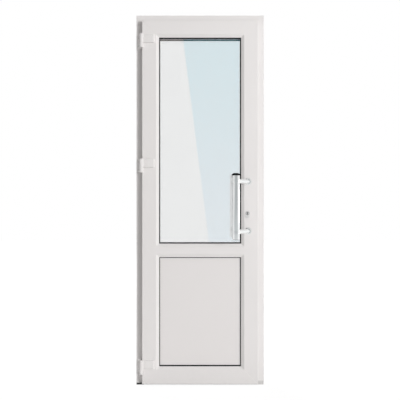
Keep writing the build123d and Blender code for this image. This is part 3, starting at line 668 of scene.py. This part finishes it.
def cover_cap_mesh(name, radius):
    """A low push-in cap, its top facing +Z."""
    shape = bmesh.new()
    height = radius * 0.26
    profile = [
        (0.0, -0.0006), (radius, -0.0006), (radius, height * 0.25), (radius * 0.93, height * 0.62),
        (radius * 0.78, height * 0.86), (radius * 0.4, height * 0.98), (0.0, height),
    ]
    turned(shape, profile, 32)
    return mesh_from(name, shape, 40)


def dot_mesh(name, radius):
    """A shallow round disc facing +Z. The spacer's holes are drawn as these, in a near black finish that
    paints their shade.
    """
    shape = bmesh.new()
    turned(shape, [(0.0, -0.0002), (radius, -0.0002), (radius, 0.00006), (0.0, 0.00003)], 10)
    return mesh_from(name, shape, 180)


def fittings_tree():
    """Geometry nodes that put one fitting on every point, facing along the point's facing vector."""
    name = "fittings_on_points"
    if name in bpy.data.node_groups:
        return bpy.data.node_groups[name]
    tree = bpy.data.node_groups.new(name, "GeometryNodeTree")
    kinds = {
        "Points": "NodeSocketGeometry",
        "Fitting": "NodeSocketObject",
        "Size": "NodeSocketFloat",
        "Turn": "NodeSocketFloat",
        "Seed": "NodeSocketInt",
        "Finish": "NodeSocketMaterial",
    }
    for label, kind in kinds.items():
        tree.interface.new_socket(name=label, in_out="INPUT", socket_type=kind)
    tree.interface.new_socket(name="Geometry", in_out="OUTPUT", socket_type="NodeSocketGeometry")
    graph = Graph(tree)
    given = graph.node("NodeGroupInput")
    sample = {"Object": given.sibling("Fitting")}
    fitting = graph.node("GeometryNodeObjectInfo", {}, sample, output="Geometry")
    vector = {"data_type": "FLOAT_VECTOR"}
    facing = graph.node("GeometryNodeInputNamedAttribute", vector, {"Name": "facing"})
    aimed = graph.node("FunctionNodeAlignRotationToVector", {"axis": "Z"}, {"Vector": facing})
    put = {"Points": given, "Instance": fitting, "Rotation": aimed, "Scale": given.sibling("Size")}
    placed = graph.node("GeometryNodeInstanceOnPoints", {}, put)
    drawn = {2: 0.0, 3: given.sibling("Turn"), "Seed": given.sibling("Seed")}
    spin = graph.node("FunctionNodeRandomValue", {"data_type": "FLOAT"}, drawn, output=1)
    about = graph.node("ShaderNodeCombineXYZ", {}, {"Z": spin})
    turn = {"Instances": placed, "Rotation": about, "Local Space": True}
    spun = graph.node("GeometryNodeRotateInstances", {}, turn)
    real = graph.node("GeometryNodeRealizeInstances", {}, {"Geometry": spun})
    dressed = {"Geometry": real, "Material": given.sibling("Finish")}
    graph.node("NodeGroupOutput", {}, {0: graph.node("GeometryNodeSetMaterial", {}, dressed)})
    return tree


def fittings_mesh(name, fitting, places, material, turn=0.0, seed=1):
    """The plain mesh of one fitting repeated at (point, facing) places, each turned by up to turn."""
    tree = fittings_tree()
    points = bpy.data.meshes.new(name + "_points")
    points.from_pydata([point for point, _ in places], [], [])
    facing = points.attributes.new("facing", "FLOAT_VECTOR", "POINT")
    facing.data.foreach_set("vector", [part for _, way in places for part in way])
    holder = bpy.data.objects.new(name + "_holder", points)
    sample = bpy.data.objects.new(name + "_sample", fitting)
    collection = bpy.context.scene.collection
    collection.objects.link(holder)
    collection.objects.link(sample)
    modifier = holder.modifiers.new("Fittings", "NODES")
    modifier.node_group = tree
    values = {"Fitting": sample, "Size": 1.0, "Turn": turn, "Seed": seed, "Finish": material}
    for item in tree.interface.items_tree:
        if item.in_out == "INPUT" and item.name in values:
            modifier[item.identifier] = values[item.name]
    graph = bpy.context.evaluated_depsgraph_get()
    mesh = bpy.data.meshes.new_from_object(holder.evaluated_get(graph))
    mesh.name = name
    for spare in (holder, sample):
        bpy.data.objects.remove(spare)
    if not len(mesh.polygons):
        raise RuntimeError(f"{name} came out empty")
    return mesh


def screws(name, body, radius, places, seed):
    """A piece of like screws, each at its own chance turn."""
    head = screw_mesh(name + "_head", radius)
    mesh = fittings_mesh(name, head, places, zinc_steel(), turn=math.pi, seed=seed)
    new_piece(name, mesh, body)


# Operators, one for each group of pieces


class DOOR_OT_profiles(bpy.types.Operator):
    """Finishes the plastic bars, the beads and the lower panel"""

    bl_idname = "door.profiles"
    bl_label = "Bars, beads and panel"

    def execute(self, context):
        tone = context.scene.door_finishes
        values = (tone.profile_white, tone.profile_roughness)
        upright = profile_finish("white_upright", *values, (1.0, 1.0, 0.015))
        dress(upright, "frame_hinge_jamb", "frame_lock_jamb", "leaf_hinge_stile", "leaf_lock_stile")
        level = profile_finish("white_level", *values, (0.015, 1.0, 1.0))
        dress(level, "frame_head", "leaf_top_rail", "leaf_mid_rail", "leaf_bottom_rail")
        beads = profile_finish("white_beads", *values, (0.2, 1.0, 0.2))
        dress(beads, "panel_beads")
        opening = sight_opening("glass")
        bars = mitred_bars("glass_bead_bars", opening, self.bead_section(), BEAD_MITRE_GAP)
        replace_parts(new_piece("glass_bead_bars", bars, "leaf", beads), "glass_beads")
        dress(panel_finish("white_panel", tone.panel_white, tone.profile_roughness), "lower_panel")
        return {"FINISHED"}

    def bead_section(self):
        """A bead with a deep flat return next to the glass and a rounded back edge."""
        back = BEAD_FACE_Y
        return [
            (0.0, BEAD_BACK_Y), (0.0, back - 0.0045), (-0.0006, back - 0.0026), (-0.0022, back - 0.0010),
            (-0.0048, back - 0.0002), (-0.0080, back), (-BEAD_REACH, back), (-BEAD_REACH, BEAD_BACK_Y),
        ]


class DOOR_OT_glazing(bpy.types.Operator):
    """Finishes the panes and the spacer, and marks the spacer's holes with near black discs, painted
    shade where the holes are
    """

    bl_idname = "door.glazing"
    bl_label = "Glazing"

    def execute(self, context):
        tone = context.scene.door_finishes
        sizes = context.scene.door_fittings
        dress(glass_finish("clear_glass", tone.glass_tint), "glass_outer_pane", "glass_inner_pane")
        dress(spacer_finish("spacer_aluminium", SLOT_COLOUR["spacer"]), "glass_spacer")
        places = self.hole_places(sizes.perforation_pitch)
        # Painted shade: the spacer's holes are near black discs, for the shade inside them.
        hole_shade_finish = finish_for("punched_dark", moulded_finish, (0.06, 0.06, 0.06), 0.6, 0.3)
        dot = dot_mesh("hole_shade_disc", sizes.perforation_radius)
        mesh = fittings_mesh("spacer_perforations", dot, places, hole_shade_finish)
        new_piece("spacer_perforations", mesh, "leaf")
        return {"FINISHED"}

    def hole_places(self, pitch):
        """Two rows of points on each inner face of the spacer."""
        low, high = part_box("glass_spacer")
        left = low.x + SPACER_WIDTH
        right = high.x - SPACER_WIDTH
        bottom = low.z + SPACER_WIDTH
        top = high.z - SPACER_WIDTH
        middle = (low.y + high.y) / 2
        places = []
        for y in (middle - SPACER_ROW_OFFSET, middle + SPACER_ROW_OFFSET):
            for step in range(1, int((top - bottom) / pitch)):
                z = bottom + step * pitch
                places.append(((left, y, z), (1, 0, 0)))
                places.append(((right, y, z), (-1, 0, 0)))
            for step in range(1, int((right - left) / pitch)):
                x = left + step * pitch
                places.append(((x, y, bottom), (0, 0, 1)))
                places.append(((x, y, top), (0, 0, -1)))
        return places


class DOOR_OT_seals(bpy.types.Operator):
    """Finishes the weather seals and moulds the glazing seals with their soft lips"""

    bl_idname = "door.seals"
    bl_label = "Seals"

    def execute(self, context):
        sizes = context.scene.door_fittings
        rubber = rubber_finish("black_rubber", context.scene.door_finishes.seal_black)
        dress(rubber, "frame_seal", "leaf_seal")
        for place in ("glass", "panel"):
            cover = getattr(sizes, f"{place}_seal_cover")
            nose = getattr(sizes, f"{place}_seal_nose")
            outer = self.outer_section(cover, nose)
            inner = self.inner_section(sizes.inner_seal_nose)
            for side, section, lean in (("outer", outer, SEAL_LEAN[place]), ("inner", inner, (0.0, 0.0))):
                name = f"{place}_{side}_seal_loop"
                mesh = loop_mesh(name, self.seal_line(place, side), section, lean)
                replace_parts(new_piece(name, mesh, "leaf", rubber), f"{place}_seal_{side}")
        return {"FINISHED"}

    def seal_line(self, place, side):
        """A seal's opening: a little lower at its head, and for an outer seal higher at its foot."""
        half, low, high = sight_opening(place)
        rise = SEAL_RISE[place] if side == "outer" else 0.0
        return half, low + rise, high - SEAL_DROP[side]

    def outer_section(self, cover, nose):
        """Wraps the lip's edge, laps a little way up the bevel and rounds over on to the glass."""
        edge = LIP_FRONT_Y
        lap = edge - cover * BEVEL_SLOPE
        return [
            (-cover, lap - 0.0001), (0.0, edge - 0.0003), (nose * 0.5, edge + 0.0004),
            (nose * 0.85, edge + 0.0018), (nose, edge + 0.0036), (nose * 0.93, GLASS_OUTER_Y),
            (-SEAL_BACK, GLASS_OUTER_Y), (-SEAL_BACK, LIP_BACK_Y), (0.0, LIP_BACK_Y),
            (0.0, edge + 0.0001), (-cover, lap + 0.0001),
        ]

    def inner_section(self, nose):
        """A flat seal with a rounded lip between the glass and the bead."""
        return [
            (-SEAL_BACK, GLASS_INNER_Y), (nose, GLASS_INNER_Y), (nose, GLASS_INNER_Y + 0.0012),
            (nose * 0.7, BEAD_BACK_Y - 0.0006), (nose * 0.2, BEAD_BACK_Y), (-SEAL_BACK, BEAD_BACK_Y),
        ]


class DOOR_OT_threshold(bpy.types.Operator):
    """Finishes the threshold and its end pieces, and adds its screws"""

    bl_idname = "door.threshold"
    bl_label = "Threshold"

    def execute(self, context):
        tone = context.scene.door_finishes
        sizes = context.scene.door_fittings
        dress(mill_finish("mill_aluminium", SLOT_COLOUR["threshold_metal"]), "threshold")
        joiner = moulded_finish("grey_joiner", tone.joiner_grey, 0.5, 0.45)
        dress(joiner, "threshold_joiner_hinge_side", "threshold_joiner_lock_side")
        dress(moulded_finish("black_packer", SLOT_COLOUR["packer_black"], 0.5, 0.3), "hinge_side_packer")
        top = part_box("threshold")[1].z
        places = [((x, THRESHOLD_SCREW_Y, top), (0, 0, 1)) for x in THRESHOLD_SCREW_XS]
        screws("threshold_screws", "frame", sizes.threshold_screw_radius, places, seed=4)
        return {"FINISHED"}


class DOOR_OT_hinges(bpy.types.Operator):
    """Finishes the hinges and adds their end plugs, bushes and screws"""

    bl_idname = "door.hinges"
    bl_label = "Hinges"

    def execute(self, context):
        white = powder_finish("white_powder", context.scene.door_finishes.hinge_white)
        dress(white, "hinge_frame_parts", "hinge_leaf_parts")
        self.plugs("hinge_top_plugs", "leaf", 0.0, 1.0)
        self.plugs("hinge_foot_plugs", "frame", -HINGE_HEIGHT, -1.0)
        self.bushes()
        places = []
        for top in HINGE_TOPS:
            for drop in HINGE_SCREW_DROPS:
                places.append(((HINGE_PLATE_X, HINGE_PLATE_Y, top - drop), (0, -1, 0)))
        screws("hinge_plate_screws", "frame", context.scene.door_fittings.screw_radius, places, seed=7)
        return {"FINISHED"}

    def plugs(self, name, body, offset, way):
        """Domed plugs with a socket for the key, in the ends of the barrels."""
        shape = bmesh.new()
        profile = [
            (0.0, -0.0005), (0.0094, -0.0005), (0.0094, 0.0006), (0.0088, 0.0014), (0.0072, 0.0020),
            (0.0034, 0.0024), (0.0026, 0.0024), (0.0024, 0.0021), (0.0024, 0.0004), (0.0, 0.0004),
        ]
        for top in HINGE_TOPS:
            end = Matrix.Translation((HINGE_X, HINGE_Y, top + offset))
            turned(shape, profile, 40, end @ Matrix.Diagonal((1, 1, way, 1)))
        new_piece(name, mesh_from(name, shape, 35), body, white_plug())

    def bushes(self):
        """Nylon washers between the knuckles."""
        shape = bmesh.new()
        thick = KNUCKLE_GAP * 0.8
        outer = 0.0096
        hole = 0.0041
        for top in HINGE_TOPS:
            middle = top - HINGE_HEIGHT + FRAME_KNUCKLE + KNUCKLE_GAP / 2
            where = Matrix.Translation((HINGE_X, HINGE_Y, middle - thick / 2))
            section = [(hole, 0.0), (outer, 0.0), (outer, thick), (hole, thick), (hole, 0.0)]
            turned(shape, section, 40, where)
        mesh = mesh_from("hinge_bushes", shape, 35)
        new_piece("hinge_bushes", mesh, "frame", pale_nylon())


class DOOR_OT_lock(bpy.types.Operator):
    """Finishes the lock, the keep and the cylinder, and adds their screws"""

    bl_idname = "door.lock"
    bl_label = "Lock"

    def execute(self, context):
        dress(zinc_steel(), "lock_faceplate", "lock_case", "deadbolt", "lock_keep")
        dress(pale_nylon(), "latch_roller")
        nickel = nickel_finish("satin_nickel", (0.93, 0.925, 0.915), 0.55)
        dress(nickel, "lock_cylinder", "key_plug")
        dress(nickel_finish("pale_nickel", (0.93, 0.92, 0.91), 0.15), "cylinder_rings")
        radius = context.scene.door_fittings.screw_radius
        plate = [((FACEPLATE_X, HARDWARE_Y, z), (1, 0, 0)) for z in FACEPLATE_SCREW_ZS]
        screws("faceplate_screws", "leaf", radius, plate, seed=11)
        keep = [((KEEP_X, HARDWARE_Y, z), (-1, 0, 0)) for z in KEEP_SCREW_ZS]
        screws("keep_screws", "frame", radius, keep, seed=13)
        return {"FINISHED"}


class DOOR_OT_handles(bpy.types.Operator):
    """Finishes the pull handles and makes their bars, rings and end caps"""

    bl_idname = "door.handles"
    bl_label = "Pull handles"

    def execute(self, context):
        tone = context.scene.door_finishes
        sizes = context.scene.door_fittings
        steel = handle_finish("satin_steel", tone.handle_silver, tone.handle_roughness)
        bright = handle_finish("bright_steel", tone.handle_silver, tone.bracket_roughness)
        dress(bright, "pull_brackets")
        self.bars(steel)
        black = moulded_finish("black_cap", tone.cap_black, 0.55, 0.2, shine=0.1)
        self.caps("outer_bar_caps", OUTER_BAR, sizes, black)
        self.caps("inner_bar_caps", INNER_BAR, sizes, black)
        self.collars("outer_bar_collars", OUTER_BAR, sizes.collar_wall, sizes.collar_height, steel)
        self.collars("inner_bar_sleeves", INNER_BAR, sizes.sleeve_wall, sizes.collar_height * 1.6, steel)
        return {"FINISHED"}

    def bars(self, steel):
        """The outer bar and the slimmer inner one, with a small round on their ends."""
        shape = bmesh.new()
        edge = 0.0012
        cut = edge * 0.3
        for x, y, radius in (OUTER_BAR, INNER_BAR):
            profile = [
                (0.0, BAR_FOOT), (radius - edge, BAR_FOOT), (radius - cut, BAR_FOOT + cut),
                (radius, BAR_FOOT + edge), (radius, BAR_TOP - edge), (radius - cut, BAR_TOP - cut),
                (radius - edge, BAR_TOP), (0.0, BAR_TOP),
            ]
            turned(shape, profile, 96, Matrix.Translation((x, y, 0.0)))
        mesh = mesh_from("pull_bar_tubes", shape, 50)
        tubes = new_piece("pull_bar_tubes", mesh, "leaf", steel)
        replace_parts(tubes, "pull_bars")

    def collars(self, name, bar, wall, height, steel):
        """Rings round a bar where the arms meet it."""
        shape = bmesh.new()
        x, y, bar_radius = bar
        inner = bar_radius - 0.0002
        radius = bar_radius + wall
        edge = 0.0004
        half = height / 2
        section = [
            (inner, -half), (radius - edge, -half), (radius, -half + edge), (radius, half - edge),
            (radius - edge, half), (inner, half), (inner, -half),
        ]
        for z in BRACKET_ZS:
            turned(shape, section, 64, Matrix.Translation((x, y, z - COLLAR_DROP)))
        new_piece(name, mesh_from(name, shape, 30), "leaf", steel)

    def caps(self, name, bar, sizes, black):
        """A domed black cap with a rim on a bar's top, and a flush plug in its foot."""
        x, y, bar_radius = bar
        radius = bar_radius + sizes.end_cap_rim
        height = sizes.end_cap_height * bar_radius / OUTER_BAR[2]
        shape = bmesh.new()
        profile = [
            (0.0, -0.0005), (radius * 0.90, -0.0005), (radius * 0.97, 0.0), (radius, 0.0008),
            (radius, 0.0030), (radius * 0.985, 0.0038), (radius * 0.95, height * 0.44),
            (radius * 0.88, height * 0.62), (radius * 0.76, height * 0.79),
            (radius * 0.58, height * 0.92), (radius * 0.34, height * 0.985), (0.0, height),
        ]
        plug = bar_radius * 0.8
        foot = [(0.0, 0.0005), (plug, 0.0005), (plug, -0.0014), (plug * 0.96, -0.002), (0.0, -0.002)]
        turned(shape, profile, 48, Matrix.Translation((x, y, BAR_TOP)))
        turned(shape, foot, 48, Matrix.Translation((x, y, BAR_FOOT)))
        mesh = mesh_from(name, shape, 40)
        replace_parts(new_piece(name, mesh, "leaf", black), "pull_end_caps")


class DOOR_OT_cover_caps(bpy.types.Operator):
    """Puts caps over the frame fixings in both jambs"""

    bl_idname = "door.cover_caps"
    bl_label = "Fixing cover caps"

    def execute(self, context):
        cap = cover_cap_mesh("cover_cap", context.scene.door_fittings.cover_cap_radius)
        places = []
        for side in (-1, 1):
            for z in FIXING_ZS:
                places.append(((side * REBATE_X, FIXING_Y, z), (-side, 0, 0)))
        mesh = fittings_mesh("fixing_cover_caps", cap, places, white_plug(), seed=3)
        new_piece("fixing_cover_caps", mesh, "frame")
        return {"FINISHED"}


class DOOR_OT_stage(bpy.types.Operator):
    """Makes the floor, the reflection card, the lamps, the world and the camera"""

    bl_idname = "door.stage"
    bl_label = "Studio"

    def execute(self, context):
        studio = context.scene.door_studio
        context.scene.view_settings.view_transform = "Standard"
        self.world(context.scene, studio.ambient)
        self.floor()
        self.card()
        key = self.lamp("key_lamp", KEY_SPOT, KEY_SIZE, studio.key_power)
        self.linked(key, "not_lit_by_key", ("frame_hinge_jamb",), "EXCLUDE")
        side_key = self.lamp("side_key_lamp", SIDE_KEY_SPOT, KEY_SIZE, studio.key_power * SIDE_KEY_SHARE)
        self.linked(side_key, "lit_by_side_key", ("frame_hinge_jamb",))
        self.lamp("back_lamp", BACK_SPOT, BACK_SIZE, studio.back_power)
        strip = self.lamp("hinge_strip", HINGE_STRIP_SPOT, HINGE_STRIP_SIZE, studio.strip_power, True)
        self.linked(strip, "lit_by_strip", ("hinge_frame_parts", "hinge_leaf_parts"))
        side = self.lamp("handle_strip", HANDLE_STRIP_SPOT, HANDLE_STRIP_SIZE, studio.handle_power, True)
        self.linked(side, "lit_by_handle_strip", ("pull_bar_tubes", "outer_bar_collars"))
        self.camera(context.scene, studio)
        return {"FINISHED"}

    def world(self, scene, ambient):
        """White behind the door and in mirrored rays, but grey there in front and overhead.

        What lights the door evenly is dimmer from behind and from the left, and brighter from above.
        """
        world = bpy.data.worlds.new("studio_world")
        world.use_nodes = True
        world.node_tree.nodes.clear()
        scene.world = world
        graph = Graph(world.node_tree)
        way = graph.node("ShaderNodeTexCoord", output="Generated")
        x = graph.axis(way, "X")
        y = graph.axis(way, "Y")
        z = graph.axis(way, "Z")
        path, mirrored, direct, unglazed = graph.rays()
        front = (y * -1.0).over(0.35, 0.95)
        tone = graph.blend(mirrored * front * unglazed, WHITE, MIRRORED_FRONT)
        tone = graph.blend(mirrored * z.over(0.4, 0.72), tone, MIRRORED_ABOVE)
        bright = graph.node("ShaderNodeBackground", {}, {"Color": tone, "Strength": 1.0})
        soft = graph.blend(y.over(-0.2, 0.6), EVEN_FRONT, EVEN_BACK)
        left = (x * -1.0).over(0.1, 0.9)
        sky = (z.over(0.0, 1.0) * 1.5 + 0.78) * (1.0 - left * 0.7)
        even = graph.node("ShaderNodeBackground", {}, {"Color": soft, "Strength": sky * ambient})
        seen = path.maths("MAXIMUM", path, path.sibling("Is Transmission Ray") * direct)
        share = seen.maths("MAXIMUM", seen, mirrored)
        mixed = graph.node("ShaderNodeMixShader", {}, {0: share, 1: even, 2: bright})
        graph.node("ShaderNodeOutputWorld", {}, {"Surface": mixed})

    def plane(self, name, corners):
        mesh = bpy.data.meshes.new(name)
        mesh.from_pydata(corners, [], [(0, 1, 2, 3)])
        made = bpy.data.objects.new(name, mesh)
        bpy.context.scene.collection.objects.link(made)
        return made

    def floor(self):
        """A pale floor that looks white but keeps the door's shadow, grey in front in mirrored rays."""
        half = FLOOR_HALF
        corners = [(-half, -half), (half, -half), (half, half), (-half, half)]
        made = self.plane("floor", [(x, y, 0.0) for x, y in corners])
        graph, place = new_material("pale_floor")
        pale = graph.blend(graph.noise(place, 40.0, 4.0), (0.69, 0.682, 0.675), (0.67, 0.662, 0.655))
        solid = graph.node("ShaderNodeBsdfDiffuse", {}, {"Color": pale})
        faint = graph.node("ShaderNodeBsdfDiffuse", {}, {"Color": rgba((0.16, 0.16, 0.16))})
        path, mirrored, direct, unglazed = graph.rays()
        front = (graph.axis(place, "Y") * -1.0).over(0.5, 2.0)
        far = graph.length(place).over(1.0, 4.0)
        tone = graph.blend(far, shade(WHITE, 0.9), WHITE)
        tone = graph.blend(mirrored * front * unglazed, tone, MIRRORED_FRONT)
        glow = graph.node("ShaderNodeEmission", {}, {"Color": tone, "Strength": 1.0})
        white = graph.node("ShaderNodeAddShader", {}, {0: faint, 1: glow})
        seen = path + (path.sibling("Is Glossy Ray") + path.sibling("Is Transmission Ray")) * direct
        mixed = graph.node("ShaderNodeMixShader", {}, {0: seen, 1: solid, 2: white})
        made.data.materials.append(graph.output(mixed))

    def card(self):
        """A card behind the camera that only the panes mirror: neutral on the left, blue on the right."""
        side = CARD_HALF
        corners = [(-side, CARD_FOOT), (-side, CARD_TOP), (side, CARD_TOP), (side, CARD_FOOT)]
        made = self.plane("reflection_card", [(x, CARD_Y, z) for x, z in corners])
        made.visible_camera = False
        made.visible_diffuse = False
        made.visible_shadow = False
        graph, place = new_material("card_light")
        z = graph.axis(place, "Z")
        blue = graph.blend(z.over(0.5, 3.0), CARD_BLUE_LOW, CARD_BLUE_HIGH)
        slant = graph.axis(place, "X") + z * 0.1275 - 0.175
        tone = graph.blend(slant.over(-0.004, 0.004), CARD_NEUTRAL, blue)
        mirrored = graph.node("ShaderNodeLightPath", output="Glossy Depth").above(0.5)
        glow = graph.node("ShaderNodeEmission", {}, {"Color": tone, "Strength": mirrored})
        clear = graph.node("ShaderNodeBsdfTransparent")
        both = graph.node("ShaderNodeAddShader", {}, {0: clear, 1: glow})
        made.data.materials.append(graph.output(both))
        self.linked(made, "lit_by_card", ("glass_outer_pane", "glass_inner_pane"))

    def linked(self, source, name, listed, state="INCLUDE"):
        """Lets a lamp or card light only these CAD nodes or pieces, or all but these."""
        group = bpy.data.collections.new(name)
        for piece in listed:
            group.objects.link(NODES.get(piece) or bpy.data.objects[piece])
        for row in group.collection_objects:
            row.light_linking.link_state = state
        source.light_linking.receiver_collection = group

    def lamp(self, name, spot, size, power, mirrored=False):
        """A soft round lamp aimed at the door's middle. Only some show in mirrored rays."""
        data = bpy.data.lights.new(name, "AREA")
        data.shape = "DISK"
        data.size = size
        data.energy = power
        lamp = bpy.data.objects.new(name, data)
        lamp.location = spot
        lamp.rotation_euler = (Vector(AIM) - Vector(spot)).to_track_quat("-Z", "Y").to_euler()
        lamp.visible_glossy = mirrored
        lamp.visible_transmission = False
        bpy.context.scene.collection.objects.link(lamp)
        return lamp

    def camera(self, scene, studio):
        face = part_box("frame_head")[0].y
        data = bpy.data.cameras.new("camera")
        data.sensor_width = 36.0
        data.lens = studio.lens
        data.clip_start = 0.05
        camera = bpy.data.objects.new("camera", data)
        camera.location = (CAMERA_X, face - studio.camera_distance, studio.camera_height)
        camera.rotation_euler = (math.pi / 2, 0.0, 0.0)
        scene.collection.objects.link(camera)
        scene.camera = camera


OPERATORS = (
    DOOR_OT_profiles,
    DOOR_OT_glazing,
    DOOR_OT_seals,
    DOOR_OT_threshold,
    DOOR_OT_hinges,
    DOOR_OT_lock,
    DOOR_OT_handles,
    DOOR_OT_cover_caps,
    DOOR_OT_stage,
)


class VIEW3D_PT_door(bpy.types.Panel):
    """Lists the door's pieces and settings"""

    bl_label = "Glazed door"
    bl_space_type = "VIEW_3D"
    bl_region_type = "UI"
    bl_category = "Door"

    def draw(self, context):
        for operator in OPERATORS:
            self.layout.operator(operator.bl_idname)
        for group in SETTINGS:
            settings = getattr(context.scene, group)
            box = self.layout.box()
            for name in settings.bl_rna.properties.keys():
                if name not in ("rna_type", "name"):
                    box.prop(settings, name)


SETTINGS = {
    "door_finishes": DoorFinishSettings,
    "door_fittings": DoorFittingSettings,
    "door_studio": DoorStudioSettings,
}
CLASSES = (*SETTINGS.values(), *OPERATORS, VIEW3D_PT_door)


def register():
    for kind in CLASSES:
        bpy.utils.register_class(kind)
    for name, kind in SETTINGS.items():
        setattr(bpy.types.Scene, name, PointerProperty(type=kind))


def unregister():
    for name in SETTINGS:
        delattr(bpy.types.Scene, name)
    for kind in reversed(CLASSES):
        bpy.utils.unregister_class(kind)


def main():
    register()
    for operator in OPERATORS:
        group, name = operator.bl_idname.split(".")
        getattr(getattr(bpy.ops, group), name)()


if __name__ == "__main__":
    main()
